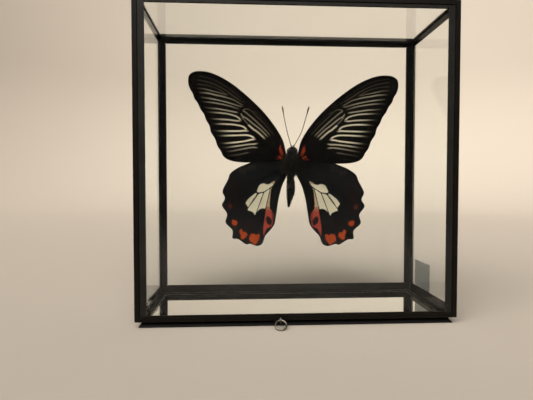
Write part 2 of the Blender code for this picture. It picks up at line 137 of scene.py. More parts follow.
# The forewing's pale lines: half width, brightness at the root end and at the outer end, and path
PALE_LINES = (
    (0.40, 0.65, 0.71, ((29.5, 20.65), (32, 20.8), (38, 21.4), (48.5, 21.6))),
    (0.38, 0.72, 0.55, ((29.6, 20.9), (29.9, 21.6), (32.3, 23.35), (38, 24.7), (46, 25.2), (49.5, 25.2))),
    (0.42, 1.00, 0.86, ((25.4, 15.1), (28, 15.3), (30, 15.15), (42, 14.95), (46, 15.2))),
    (0.42, 0.81, 1.00, ((25.9, 15.4), (28.3, 17.6), (34, 18.7), (42, 18.85), (46, 18.5))),
    (0.42, 1.00, 1.00, ((21.3, 10.4), (24, 10.1), (28, 9.3), (38, 8.2), (42, 8.1))),
    (0.42, 0.97, 1.00, ((21.5, 10.7), (23, 11.85), (26, 12.75), (32, 12.7), (44, 12.1))),
    (0.38, 0.65, 0.65, ((19.9, 8.05), (22, 7.7), (24, 7.65), (28, 7.2), (38, 5.85), (41, 5.6))),
    (0.36, 0.52, 0.36, ((19.9, 5.6), (24, 5.75), (34, 4), (38, 3.4))),
    (0.34, 0.39, 0.39, ((24.8, 3), (28, 2.5), (30, 2.05), (37.5, 0.9))),
    (0.25, 0.03, 0.03, ((28, -0.5), (32, -0.8), (35, -1))),
    (0.36, 0.36, 0.50, ((31.2, 25.4), (42, 27.15), (46, 27.4), (50, 27.9))),
    (0.34, 0.20, 0.48, ((30.2, 27.1), (32, 27.9), (38, 29.4), (46, 30.65), (53, 30.9))),
    (0.34, 0.26, 0.46, ((28.2, 28.8), (30, 28.9), (36, 30.65), (44, 32.35), (52, 33.4))),
    (0.36, 0.29, 0.44, ((27.9, 29.3), (30, 30.4), (34, 32.6), (40, 34.2), (44, 34.9), (48, 35.7),
        (53, 36))),
    (0.32, 0.29, 0.05, ((26.8, 30.6), (30, 32.25), (34, 34.75), (38, 37.55), (44, 40.65), (50, 42.3),
        (54, 42.9))),
    (0.30, 0.33, 0.13, ((36.4, 34.7), (40, 35.5), (42, 36.1), (50, 38), (54, 38.3))),
    (0.28, 0.22, 0.07, ((36.6, 34.9), (42, 38.05), (46, 39.55), (50, 40.35), (54, 40.6))),
    (0.28, 0.12, 0.04, ((28, 32.9), (30, 34.05), (36, 38.55), (38, 39.65), (44, 42.85), (50, 44.5),
        (54, 45))),
    (0.22, 0.05, 0.03, ((30, 35.5), (32, 37.4), (34, 38.9), (36, 40.5), (42, 43.8), (46, 45.3),
        (50, 46.2))),
    (0.33, 0.29, 0.22, ((10.6, 12.8), (12, 14.7), (16, 19.15), (20, 22.9), (23, 25.9), (25.2, 27.3),
        (27.5, 27.2), (28.2, 26.6), (28, 26.1))),
    (0.36, 0.60, 0.33, ((12.7, 12.4), (14, 14.05), (20, 19.85), (26, 24.95), (27.6, 26.1))),
    (0.36, 0.59, 0.33, ((14, 11.7), (18, 15.65), (22, 18.75), (26, 21.95), (28, 23.1), (29, 23.9),
        (29.3, 24.6))),
    (0.46, 0.66, 0.81, ((15.6, 10.6), (19, 13.7), (21, 15.25), (22, 15.8), (25, 18.3))),
    (0.26, 0.16, 0.13, ((25, 18.3), (26, 19.65), (28, 21.7), (28.8, 22.9), (29.2, 24))),
)
# The line before the discal cell is much fainter on the right
FRONT_LINE = ((10.1, 14.1), (12, 17.15), (18, 23.3), (20, 24.9), (22, 26.1))
FRONT_LINE_LIGHT = {"left": (0.28, 0.60, 0.03), "right": (0.26, 0.12, 0.03)}
# The red marks at the forewing's root, as outlines on its plan
RED_BASE = (
    ((6.8, 7.3), (7.3, 6.5), (7.6, 5.6), (7.6, 4.5), (7.2, 3.6), (7.4, 2.8), (6.3, 1.7), (5.4, 0.9),
     (4.8, 1.4), (4.95, 2.6), (5.45, 3.9), (6.0, 5.3)),
    ((5.8, -0.2), (6.8, 0.9), (7.9, 1.2), (8.2, 0.8), (7.5, 0.0), (6.5, -0.65)),
    ((7.4, -0.6), (8.2, -0.35), (9.1, -0.5), (9.4, -0.8), (8.4, -0.8)),
)

# The hindwing's patches, as outlines on its plan
CELL_STREAK = (
    (8.7, -12.1), (10.3, -13.0), (12.0, -14.1), (12.5, -15.5), (11.2, -15.7), (10.3, -14.8), (9.5, -13.4),
)
CELL_PATCH = (
    (13.2, -14.9), (14.6, -15.2), (15.9, -14.7), (17.4, -14.7), (18.7, -15.4), (19.6, -16.9),
    (20.2, -18.4), (20.3, -19.2), (19.4, -19.7), (17.6, -19.5), (15.9, -19.1), (14.2, -18.0),
    (12.6, -16.8), (11.3, -15.8), (11.0, -15.0), (11.9, -14.5),
)
OUTER_PATCH = (
    (20.85, -20.1), (22.25, -20.8), (24.15, -22.2), (25.55, -23.6), (26.65, -25.2), (26.95, -25.9),
    (26.45, -26.8), (25.75, -27.8), (25.35, -27.8), (23.25, -24.5), (20.65, -20.8),
)
MIDDLE_PATCH = (
    (16.95, -20.1), (19.25, -20.6), (19.95, -20.8), (22.25, -24.0), (24.65, -27.3), (25.65, -28.9),
    (25.55, -30.0), (24.65, -30.1), (23.65, -30.6), (22.55, -31.1), (21.85, -32.2), (21.45, -32.7),
    (21.15, -31.7), (20.55, -30.3), (18.75, -25.2), (17.8, -22.6),
)
INNER_PATCH = (
    (12.75, -17.3), (13.55, -20.3), (14.15, -23.1), (14.85, -25.9), (15.35, -27.8), (15.75, -28.9),
    (16.65, -28.7), (17.85, -28.9), (19.05, -29.4), (19.75, -30.1), (20.15, -30.1), (18.3, -25.1),
    (16.45, -20.1), (15.35, -19.2), (14.0, -18.2),
)
TAN_STRIP = (
    (11.65, -16.8), (12.25, -18.5), (12.55, -21.3), (12.75, -24.0), (12.95, -26.4), (12.85, -27.8),
    (14.0, -28.1), (15.15, -28.0), (14.85, -26.8), (14.15, -24.0), (13.35, -20.3), (12.55, -17.3),
)
PINK_PATCH = (
    (12.95, -27.8), (12.75, -28.9), (11.35, -30.6), (10.85, -32.4), (10.95, -34.7), (11.25, -37.1),
    (11.85, -39.2), (13.45, -39.6), (14.85, -40.6), (15.35, -41.7), (16.05, -43.3), (16.45, -44.5),
    (16.65, -42.7), (16.65, -39.9), (16.35, -37.5), (15.85, -34.3), (15.45, -31.5), (15.25, -29.2),
    (15.15, -28.0), (14.0, -27.7),
)
# Ovals have a middle, a half width, a half height and a tilt in degrees
PINK_OVAL = ((13.45, -35.7), 1.55, 2.75, -20.0)
ORANGE_SPOTS = (
    ((18.9, -43.8), (19.8, -43.3), (20.8, -44.0), (21.8, -43.3), (23.0, -43.2), (24.1, -43.7),
     (24.7, -45.0), (24.8, -46.5), (24.4, -47.5), (23.2, -48.3), (22.2, -49.1), (21.4, -49.6),
     (20.7, -48.6), (19.8, -47.4), (18.9, -46.3), (18.7, -45.0)),
    ((26.4, -42.9), (27.4, -42.2), (28.5, -42.3), (29.0, -41.2), (29.7, -40.6), (30.5, -41.5),
     (30.4, -42.8), (29.9, -43.8), (29.9, -45.3), (29.3, -46.4), (28.3, -46.3), (27.2, -45.4),
     (26.3, -44.4)),
    ((31.8, -37.0), (32.5, -35.9), (33.7, -35.6), (34.7, -35.3), (35.1, -36.4), (34.9, -37.9),
     (33.8, -38.6), (32.7, -38.5)),
)
# A faint red spot near the margin
DULL_SPOT = ((36.0, -27.6), 1.1, 1.5, -20.0)
# Dark areas that are browner than the rest
BROWN_AREAS = (
    ((34.5, -21.0), 5.0, 13.0, -8.0),
    ((25.7, -38.0), 6.0, 4.5, 0.0),
    ((23.0, -45.5), 7.5, 5.0, -20.0),
    ((33.0, -38.5), 4.5, 5.0, 0.0),
    ((7.6, -3.8), 2.6, 1.1, 5.0),
)
# Faint tan streaks behind the hindwing's leading edge: outwards, up, length and tilt in degrees
TAN_STREAKS = (
    (21.5, -5.5, 2.6, 8.0), (22.7, -5.5, 2.8, 8.0), (23.8, -6.0, 3.0, 9.0), (25.2, -6.0, 3.0, 10.0),
    (27.1, -8.2, 3.0, 12.0), (28.2, -8.5, 3.0, 13.0), (29.4, -8.3, 2.8, 14.0), (30.3, -7.3, 2.5, 15.0),
)
STREAK_HALF_WIDTH = 0.16
# The vein under the cell patch is bolder, by this much at most and fully so beyond these places
CELL_VEIN_EXTRA = 0.12
CELL_VEIN_GROWTH = (11.0, 17.0)
# The cell streak tapers between these places, and the red patch turns tan between these heights
STREAK_TAPER = (8.7, 11.5)
TAN_TURN = (-30.8, -28.4)

# The pale lines dim to brown between these distances from the rim, and then fade out
LINE_DIMMING = (2.8, 10.8)
LINE_FADE = (0.6, 4.0)
# The pattern's own shift on each wing grows between these distances out, and from the rim inwards
SHIFT_OUT = (14.0, 34.0)
SHIFT_IN = (0.0, 4.0)

# Steps of the curves, and the wing mesh's spacing in millimetres: along the rim, along veins and
# lines, over the open grid, and of the rows beside each vein
OUTLINE_STEPS = 8
PATH_STEPS = 6
PATCH_STEPS = 4
EDGE_SPACING = 0.35
ROW_SPACING = 0.35
GRID_SPACING = 0.48
VEIN_ROWS = (0.0, 0.2, 0.42)
# How near to one another, to a vein, to a line and to the rim the mesh's places may come
CROWDING = 0.16
GRID_CLEARANCE = 0.55
LINE_CLEARANCE = 0.28
RIM_CLEARANCE = 0.22
# Half the membrane's thickness, its sag between veins, and its wide and its small waves
MEMBRANE = 0.00005
MEMBRANE_SAG = 0.00016
MEMBRANE_WAVE = 0.00016
MEMBRANE_RIPPLE = 0.00004
# A vein's height over the membrane, and how fast it falls off in millimetres
VEIN_HEIGHT = 0.0001
VEIN_SPREAD = 0.17

# The body's sections in millimetres: height, half width, half thickness, sideways shift
BODY_SECTIONS = (
    (6.4, 0.5, 0.4, 0.3), (6.0, 1.5, 1.1, 0.3), (5.2, 2.4, 1.7, 0.1), (4.2, 2.75, 1.9, 0.05),
    (3.2, 2.75, 1.9, 0.0), (2.2, 2.7, 2.1, 0.0), (0.9, 3.0, 2.8, 0.0), (-2.0, 3.2, 3.2, 0.0),
    (-5.0, 3.0, 3.1, -0.1), (-8.0, 2.6, 2.6, -0.15), (-9.3, 2.3, 2.1, -0.4), (-10.8, 2.05, 2.0, -0.85),
    (-14.0, 2.28, 2.35, -0.70), (-17.0, 2.36, 2.4, -0.65), (-19.5, 2.24, 2.3, -0.78),
    (-21.3, 1.92, 2.0, -1.0), (-23.8, 1.33, 1.4, -1.4), (-26.0, 0.66, 0.7, -1.75), (-27.5, 0.2, 0.2, -2.0),
)
BODY_SIDES = 56
SECTION_STEPS = 9
SEGMENT_JOINTS = (-12.2, -14.6, -17.0, -19.4, -21.7, -23.8, -25.6)
JOINT_SPREAD = 0.28
JOINT_PINCH = 0.09

# Fur on the thorax and nap on the abdomen: lengths in millimetres, lean downwards and width
FUR = ((1.2, 3.0), 0.75, 0.00007)
NAP = ((0.5, 1.0), 2.2, 0.00005)
ABDOMEN_TOP = -8.7
HEAD_BASE = 2.6
HEAD_HAIR_SHARE = 0.35
BODY_HAIRS = 4600
HAIR_STOPS = (0.0, 0.35, 0.7, 1.0)
# Hair over the wing roots: the heights it grows from, its longest place, and where it comes to lie
ROOT_HAIRS = 2000
ROOT_HAIR_RANGE = (-7.6, 2.2)
ROOT_HAIR_MIDDLE = -4.2
ROOT_HAIR_SPREAD = 4.4
ROOT_HAIR_TURNS = (12, 84)
ROOT_HAIR_WIDTH = 0.00006
ROOT_HAIR_IN_FRONT = 0.72
FRONT_HAIR_PLANE = 45.85
BACK_HAIR_PLANE = 47.35

# Places on the head are outwards, up and back
HEAD_SHIFT = 0.2
EYE_PLACE = (1.85, 4.15, 44.9)
EYE_RADII = (0.00105, 0.00128, 0.00135)
PALP_SHIFT = 0.3
PALP_PATH = ((0.45, 5.0, 45.8), (0.6, 6.2, 45.7), (0.55, 6.9, 45.2))
PALP_RADIUS = 0.00036
PALP_HAIRS = 160
PALP_HAIR_WIDTH = 0.00004
OVAL_RINGS = 18
OVAL_SIDES = 28

# Antennae go outwards and up from the butterfly's centre, at one depth
ANTENNA_PATHS = {
    "left": ((0.5, 5.2), (0.7, 6.6), (2.7, 13.8), (4.3, 20.9), (5.2, 25.9), (5.7, 28.6)),
    "right": ((0.8, 5.1), (1.0, 6.5), (4.1, 12.2), (5.7, 15.8), (7.5, 21.9), (9.4, 28.6)),
}
ANTENNA_PLANE = 44.0
ANTENNA_RADIUS = 0.00021
ANTENNA_SPACING = 0.12
ROD_SIDES = 12
# Legs go outwards, up and back, and have their knees at these shares of the way
LEG_PATHS = {
    "front": ((1.6, 0.2, 47.4), (4.6, 2.6, 48.4), (7.9, 3.6, 48.8), (7.4, 1.9, 48.7), (6.6, 0.2, 48.5)),
    "middle": ((1.7, -3.0, 47.6), (6.0, -1.6, 48.5), (10.5, -1.2, 48.9), (9.6, -3.2, 48.7),
               (8.4, -5.2, 48.5)),
    "hind": ((1.6, -5.8, 47.4), (6.0, -7.2, 48.4), (10.6, -8.4, 48.9), (9.9, -12.4, 48.7),
             (8.8, -17.0, 48.5)),
}
LEG_SPACING = 0.14
KNEES = {"front": 0.55, "middle": 0.55, "hind": 0.48}
CLAW_BENDS = ((0.25, -0.05, -0.30), (0.20, -0.10, -0.55))
CLAW_RADII = (0.00007, 0.00005, 0.00001)

# Tape and solder between the case's strips and glass
TAPE_BITE = 0.00003
TAPE_THICKNESS = 0.00022
TAPE_MARGIN = 0.0005
SOLDER_WIDTH = 0.00034
SOLDER_TOP = 0.00012
SOLDER_BASE = 0.00082
SOLDER_START = 0.0005
SOLDER_END = 0.0002
# What the strips on the low and the high side of each axis are called
STRIP_WORDS = ({-1: "left", 1: "right"}, {-1: "front", 1: "back"}, {-1: "bottom", 1: "top"})
# From front to back, strips turn greyer with painted sheen between these places
BACK_SHEEN_SPAN = (0.0175, 0.0205)

# The panes' index of refraction is under that of real glass, so that they reflect the pale room less
PANE_INDEX = 1.25
FRONT_PANE_INDEX = 1.30

# The label's mesh and paper, its lifted corner, and its frayed edge
LABEL_ROWS = 34
LABEL_COLUMNS = 42
LABEL_PAPER = 0.00012
LABEL_LIFT = 0.00045
LABEL_LIFT_REACH = 3.2
LABEL_FRAY = 0.00006

# The pull ring, how far it drops to the table, and the soldered loop it hangs in
RING_PIVOT = (-0.0085, -0.02815, 0.0035)
RING_RADIUS = 0.0025
RING_WIRE = 0.00045
RING_DROP = 0.00303
LOOP_RADIUS = 0.00105
LOOP_WIRE = 0.0003
LOOP_SOLDER_BACK = 0.00135
LOOP_SOLDER_RADII = (0.00060, 0.00036, 0.00085)

# The soft light: the way to its middle, the cosines of its edge and core, and the light's strength
SOFT_LIGHT_WAY = (-0.30, -0.72, 0.66)
SOFT_LIGHT_EDGE = 0.70
SOFT_LIGHT_CORE = 0.93
SOFT_LIGHT_LEVEL = 6.4
ROOM_LEVEL = 0.20
ROOM_COLOUR = (1.0, 0.96, 0.90)
WALL_LIGHT_POWER = 0.35
WALL_LIGHT_PLACE = (0.0, 0.35, 1.00)
WALL_LIGHT_TARGET = (0.0, 1.3, 0.30)
WALL_LIGHT_SIZE = 0.7
WALL_LIGHT_COLOUR = (1.0, 0.93, 0.84)
# The sweep is dim in front of the first of the fade's places, and pale behind the second
FLOOR_PALE = (0.42, 0.37, 0.315)
FLOOR_DIM = (0.15, 0.142, 0.132)
FLOOR_FADE = (-0.46, -0.12)
FLOOR_RINGS = (0.02, 0.10, 0.25, 0.45, 0.65, 0.85)
SWEEP_RADIUS = 0.45
SWEEP_STEPS = 12
SWEEP_SIDES = 96
WALL_TOP = 0.74

# The camera's place, its angles in degrees and its lens in millimetres, as fitted to the photo
CAMERA_PLACE = (-0.0247, -0.2158, 0.0645)
CAMERA_TILT = 88.22
CAMERA_TURN = -2.95
CAMERA_LENS = 28.03


# Curves and distances on the flat wing plan


def smooth_path(points, steps, closed=False):
    """Points along a smooth curve through the given ones, with steps points from each to the next."""
    points = np.array(points, float)
    count = len(points)
    found = []
    for i in range(count if closed else count - 1):
        if closed:
            a, b, c, d = (points[(i + k) % count] for k in (-1, 0, 1, 2))
        else:
            a, b, c, d = (points[min(max(i + k, 0), count - 1)] for k in (-1, 0, 1, 2))
        for t in np.arange(steps) / steps:
            even = 2 * b + (c - a) * t + (2 * a - 5 * b + 4 * c - d) * t**2
            found.append(0.5 * (even + (3 * b - 3 * c + d - a) * t**3))
    if not closed:
        found.append(points[-1])
    return np.array(found)


def spaced_path(points, spacing, closed=False):
    """The same path, with points at even distances."""
    if closed:
        points = np.vstack([points, points[:1]])
    lengths = np.linalg.norm(np.diff(points, axis=0), axis=1)
    along = np.concatenate([[0.0], np.cumsum(lengths)])
    count = max(2, round(along[-1] / spacing))
    stops = np.linspace(0.0, along[-1], count + 1)
    if closed:
        stops = stops[:-1]
    return np.column_stack([np.interp(stops, along, points[:, k]) for k in range(points.shape[1])])


def fine_path(points):
    """The smooth path of a vein or line, in steps as fine as the mesh's."""
    return spaced_path(smooth_path(points, PATH_STEPS), ROW_SPACING)


def nearest_on_path(places, path, closed=False):
    """The least distance from each place to the path, and how far along the path that is."""
    ends = np.roll(path, -1, axis=0) if closed else path[1:]
    starts = path if closed else path[:-1]
    least = np.full(len(places), np.inf)
    along = np.zeros(len(places))
    walked = 0.0
    for start, end in zip(starts, ends):
        run = end - start
        length = np.linalg.norm(run)
        share = np.clip((places - start) @ run / max(run @ run, 1e-12), 0.0, 1.0)
        gap = np.linalg.norm(places - start - share[:, None] * run, axis=1)
        along = np.where(gap < least, walked + share * length, along)
        least = np.minimum(least, gap)
        walked += length
    return least, along


def path_distance(places, path, closed=False):
    return nearest_on_path(places, path, closed)[0]


def nearest_vein(places, paths):
    return np.min([path_distance(places, path) for path in paths], axis=0)


def inside_loop(places, loop):
    """Which places a closed loop goes round, by the edges crossed on the way out."""
    within = np.zeros(len(places), bool)
    for (x1, y1), (x2, y2) in zip(loop, np.roll(loop, -1, axis=0)):
        crosses = (y1 > places[:, 1]) != (y2 > places[:, 1])
        rise = y2 - y1 if y2 != y1 else 1e-12
        within ^= crosses & (places[:, 0] < (x2 - x1) * (places[:, 1] - y1) / rise + x1)
    return within


def depth_inside(places, outline, rounded=True):
    """Distance in from a closed outline: positive inside and negative outside."""
    loop = smooth_path(outline, PATCH_STEPS, closed=True) if rounded else np.array(outline, float)
    return path_distance(places, loop, closed=True) * np.where(inside_loop(places, loop), 1.0, -1.0)


def depth_in_oval(places, oval):
    """Distance in from a tilted oval, close to true near its edge."""
    centre, half_width, half_height, tilt = oval
    turn = math.radians(tilt)
    away = places - np.array(centre)
    across = away[:, 0] * math.cos(turn) + away[:, 1] * math.sin(turn)
    along = -away[:, 0] * math.sin(turn) + away[:, 1] * math.cos(turn)
    reach = np.hypot(across / half_width, along / half_height)
    return (1.0 - reach) * min(half_width, half_height)


def ease(values, low, high):
    """0 below low, 1 above high and smooth between them."""
    share = np.clip((values - low) / (high - low), 0.0, 1.0)
    return share * share * (3 - 2 * share)


def wave(places, scale, seed):
    """Smooth noise from -1 to 1 at places in millimetres."""
    return np.array([noise.noise(Vector((p[0] / scale, p[1] / scale, seed))) for p in places])


# Materials


class Nodes:
    """Adds linked nodes to a node tree."""

    def __init__(self, tree):
        self.tree = tree

    def feed(self, socket, value):
        """Gives a socket a number, a colour or another node's value."""
        if isinstance(value, bpy.types.NodeSocket):
            self.tree.links.new(value, socket)
        elif isinstance(value, tuple) and len(value) == 3 and socket.type == "RGBA":
            socket.default_value = (*value, 1.0)
        else:
            socket.default_value = value

    def node(self, kind, inputs=None, **settings):
        made = self.tree.nodes.new(kind)
        for key, value in settings.items():
            setattr(made, key, value)
        for key, value in (inputs or {}).items():
            self.feed(made.inputs[key], value)
        return made

    def math(self, operation, first, second=0.0):
        return self.node("ShaderNodeMath", {0: first, 1: second}, operation=operation).outputs[0]

    def times(self, first, second):
        return self.math("MULTIPLY", first, second)

    def plus(self, first, second):
        return self.math("ADD", first, second)

    def less(self, first, second):
        return self.math("SUBTRACT", first, second)

    def dot(self, first, second):
        inputs = {0: first, 1: second}
        return self.node("ShaderNodeVectorMath", inputs, operation="DOT_PRODUCT").outputs["Value"]

    def step(self, value, low, high, start=0.0, end=1.0):
        """Goes smoothly from start to end as value goes from low to high."""
        inputs = {"Value": value, "From Min": low, "From Max": high, "To Min": start, "To Max": end}
        return self.node("ShaderNodeMapRange", inputs, interpolation_type="SMOOTHSTEP").outputs[0]

    def mix(self, share, first, second):
        return self.node("ShaderNodeMix", {0: share, 6: first, 7: second}, data_type="RGBA").outputs[2]


class Paint(Nodes):
    """A Principled material whose values come from nodes."""

    def __init__(self, name, **shader_values):
        self.material = bpy.data.materials.new(name)
        self.material.use_nodes = True
        super().__init__(self.material.node_tree)
        self.shader = self.tree.nodes["Principled BSDF"]
        for key, value in shader_values.items():
            self.set(key.replace("_", " ").title().replace("Ior", "IOR"), value)

    def set(self, socket, value):
        self.feed(self.shader.inputs[socket], value)

    def attribute(self, name):
        return self.node("ShaderNodeAttribute", attribute_name=name).outputs["Fac"]

    def point(self):
        """The point in the object's own space, in metres."""
        return self.node("ShaderNodeTexCoord").outputs["Object"]

    def split(self):
        return self.node("ShaderNodeSeparateXYZ", {0: self.point()}).outputs

    def place(self, stretch):
        """The point in the object's own space, in millimetres that are stretched."""
        inputs = {0: self.point(), 1: tuple(1000.0 * s for s in stretch)}
        return self.node("ShaderNodeVectorMath", inputs, operation="MULTIPLY").outputs[0]

    def grain(self, scale, detail=3.0, stretch=(1.0, 1.0, 1.0)):
        """Noise from 0 to 1 with scale features to the millimetre."""
        inputs = {"Vector": self.place(stretch), "Scale": scale, "Detail": detail}
        return self.node("ShaderNodeTexNoise", inputs).outputs["Fac"]

    def cells(self, scale, stretch=(1.0, 1.0, 1.0)):
        inputs = {"Vector": self.place(stretch), "Scale": scale}
        return self.node("ShaderNodeTexVoronoi", inputs).outputs["Distance"]

    def bump(self, height, strength, distance_mm):
        inputs = {"Height": height, "Strength": strength, "Distance": distance_mm * MILLIMETRE}
        self.set("Normal", self.node("ShaderNodeBump", inputs).outputs["Normal"])

    def worn_edges(self, radius_mm, low=0.02, high=0.16):
        """1 on sharp outer edges and 0 on flat faces."""
        soft = self.node("ShaderNodeBevel", {"Radius": radius_mm * MILLIMETRE}, samples=6).outputs["Normal"]
        flat = self.node("ShaderNodeNewGeometry").outputs["Normal"]
        return self.step(self.less(1.0, self.dot(soft, flat)), low, high)

    def finished(self, colour, roughness, height, strength, distance_mm):
        """The material, once it has its colour, roughness and bumps."""
        self.set("Base Color", colour)
        self.set("Roughness", roughness)
        self.bump(height, strength, distance_mm)
        return self.material


def black_metal():
    """Patinated strip: brownish black, edges rubbed; painted sheen makes it greyer inside the front groove
    and at the back.
    """
    paint = Paint("black_metal", specular_ior_level=0.10)
    cloud = paint.grain(0.12, detail=5.0)
    fine = paint.grain(3.0, detail=4.0)
    scratch = paint.grain(1.2, detail=6.0, stretch=(0.15, 0.15, 3.0))
    ground = paint.mix(cloud, (0.0022, 0.0018, 0.0015), (0.0075, 0.0060, 0.0046))
    # Painted sheen: a lighter grey on the groove faces and the back strips stands in for the light they catch
    painted_sheen = paint.math("MAXIMUM", groove_sheen_mask(paint), back_sheen_mask(paint))
    painted_sheen = paint.times(painted_sheen, paint.step(cloud, 0.25, 0.75, 0.5, 1.0))
    ground = paint.mix(painted_sheen, ground, (0.0185, 0.0180, 0.0165))
    rubbed = paint.times(paint.worn_edges(0.25), paint.step(fine, 0.42, 0.62))
    paint.set("Metallic", paint.step(cloud, 0.2, 0.8, 0.0, 0.15))
    colour = paint.mix(paint.times(rubbed, 0.45), ground, (0.075, 0.056, 0.036))
    roughness = paint.step(scratch, 0.3, 0.75, 0.36, 0.56)
    return paint.finished(colour, roughness, paint.plus(fine, scratch), 0.18, 0.03)


def back_sheen_mask(paint):
    """Where the painted sheen falls: 1 on the strips round the back pane, and 0 on the others."""
    return paint.step(paint.split()["Y"], *BACK_SHEEN_SPAN)


def groove_sheen_mask(paint):
    """Where the painted sheen falls: 1 on the front strips' faces inside their groove, and 0 elsewhere."""
    split = paint.split()
    low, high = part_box("rail_front_bottom")[0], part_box("rail_front_top")[1]
    from_side = paint.less(CASE_WIDTH / 2, paint.math("ABSOLUTE", split["X"]))
    from_bottom = paint.less(split["Z"], low.z)
    from_top = paint.less(high.z, split["Z"])
    from_edge = paint.math("MINIMUM", from_side, paint.math("MINIMUM", from_bottom, from_top))
    inside = paint.step(from_edge, GROOVE_INSET - 0.0001, GROOVE_INSET + 0.0001)
    facing = paint.step(split["Y"], FRONT_Y + 0.0004, FRONT_Y + 0.0006, 1.0, 0.0)
    return paint.times(inside, facing)


def glazing_tape():
    """Matt black tape with a fine weave."""
    paint = Paint("glazing_tape", specular_ior_level=0.1)
    weave = paint.grain(4.0)
    colour = paint.mix(weave, (0.0020, 0.0018, 0.0016), (0.0060, 0.0052, 0.0045))
    roughness = paint.step(weave, 0.3, 0.7, 0.75, 0.95)
    return paint.finished(colour, roughness, weave, 0.2, 0.03)


def clear_glass(name, ior):
    """Float glass: clear, faintly green, with the least waviness."""
    paint = Paint(name, roughness=0.0, ior=ior, transmission_weight=1.0)
    cloud = paint.grain(0.03, detail=2.0)
    paint.set("Base Color", paint.mix(cloud, (0.985, 0.995, 0.990), (0.965, 0.985, 0.975)))
    paint.bump(paint.grain(0.02, detail=1.0), 0.012, 0.5)
    return paint.material


def mirror():
    """Silvered glass with a little dust and dulling towards its edges."""
    paint = Paint("mirror", metallic=1.0, ior=1.5)
    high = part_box("mirror_floor")[1]
    split = paint.split()
    from_side = paint.less(high.x, paint.math("ABSOLUTE", split["X"]))
    from_back = paint.less(high.y, paint.math("ABSOLUTE", split["Y"]))
    border = paint.math("MINIMUM", from_side, from_back)
    ragged = paint.times(paint.grain(0.9, detail=4.0), 0.003)
    dull = paint.step(paint.less(border, ragged), -0.0012, 0.0009, 1.0, 0.0)
    speck = paint.step(paint.grain(1.6, detail=5.0), 0.62, 0.74)
    rough = paint.math("MAXIMUM", paint.times(dull, 0.30), paint.times(speck, 0.10))
    paint.set("Base Color", paint.mix(dull, (0.72, 0.73, 0.72), (0.18, 0.17, 0.155)))
    paint.set("Roughness", paint.plus(rough, 0.012))
    return paint.material


def black_board():
    """Black lacquered board with a soft orange peel and lighter rubbed arrises."""
    paint = Paint("black_board", specular_ior_level=0.16)
    grain = paint.grain(0.5, detail=5.0, stretch=(0.12, 1.6, 1.6))
    peel = paint.grain(2.2, detail=2.0)
    wear = paint.times(paint.worn_edges(0.3), paint.step(peel, 0.45, 0.62))
    ground = paint.mix(grain, (0.0016, 0.0015, 0.0014), (0.0042, 0.0038, 0.0034))
    colour = paint.mix(paint.times(wear, 0.5), ground, (0.04, 0.032, 0.024))
    roughness = paint.step(grain, 0.3, 0.7, 0.46, 0.62)
    return paint.finished(colour, roughness, paint.plus(peel, grain), 0.12, 0.04)


def bright_steel():
    """Plated wire, polished by handling, with drawn lines and small dark pits."""
    paint = Paint("bright_steel", metallic=1.0)
    fine = paint.grain(5.0, detail=5.0)
    cloud = paint.grain(0.8)
    pits = paint.step(paint.grain(7.0), 0.66, 0.74)
    bright = paint.mix(cloud, (0.10, 0.088, 0.072), (0.24, 0.21, 0.17))
    colour = paint.mix(pits, bright, (0.12, 0.09, 0.07))
    roughness = paint.step(fine, 0.3, 0.7, 0.14, 0.30)
    return paint.finished(colour, roughness, fine, 0.15, 0.02)


def grey_label():
    """Blank paper sticker: grey, fibrous, a little dirty along its edges."""
    paint = Paint("grey_label", specular_ior_level=0.35, transmission_weight=0.35)
    fibre = paint.grain(2.4, detail=6.0, stretch=(1.0, 1.0, 0.35))
    cloud = paint.grain(0.14, detail=4.0)
    border = paint.attribute("border")
    ragged = paint.plus(border, paint.times(fibre, 0.5))
    dirt = paint.step(ragged, 0.2, 1.0, 1.0, 0.0)
    ground = paint.mix(cloud, (0.60, 0.61, 0.585), (0.70, 0.705, 0.675))
    colour = paint.mix(paint.times(dirt, 0.6), ground, (0.25, 0.235, 0.205))
    roughness = paint.step(fibre, 0.3, 0.7, 0.50, 0.70)
    return paint.finished(colour, roughness, fibre, 0.25, 0.03)


def scale_rows(paint):
    """Overlapping rows of wing scales, a tenth of a millimetre each."""
    return paint.cells(7.0, stretch=(1.0, 1.0, 0.7))


def forewing_scales():
    """Smoky black with pale lines between the veins and a red streak at the root."""
    paint = Paint("forewing_scales", specular_ior_level=0.06)
    rows = scale_rows(paint)
    cloud = paint.grain(0.16, detail=4.0)
    fine = paint.less(paint.grain(4.5), 0.5)
    ragged = paint.times(fine, 0.35)
    ground = paint.mix(cloud, (0.0026, 0.0020, 0.0015), (0.0056, 0.0042, 0.0031))
    colour = paint.mix(paint.attribute("margin"), ground, (0.0024, 0.0020, 0.0019))
    stripe = paint.step(paint.plus(paint.attribute("pale"), ragged), -0.20, 0.20)
    cream = paint.mix(paint.attribute("light"), (0.032, 0.024, 0.017), (0.82, 0.72, 0.53))
    colour = paint.mix(paint.times(stripe, paint.attribute("shown")), colour, cream)
    streaks = paint.less(paint.grain(1.1, stretch=(2.6, 1.0, 0.6)), 0.5)
    patch = paint.plus(paint.attribute("red"), paint.times(streaks, 2.2))
    red = paint.mix(cloud, (0.22, 0.020, 0.009), (0.42, 0.060, 0.018))
    colour = paint.mix(paint.step(patch, -0.35, 0.55), colour, red)
    vein = paint.step(paint.attribute("vein"), 0.12, 0.26, 1.0, 0.0)
    colour = paint.mix(paint.times(vein, 0.9), colour, (0.0026, 0.0021, 0.0018))
    roughness = paint.step(rows, 0.1, 0.6, 0.62, 0.78)
    return paint.finished(colour, roughness, rows, 0.22, 0.04)


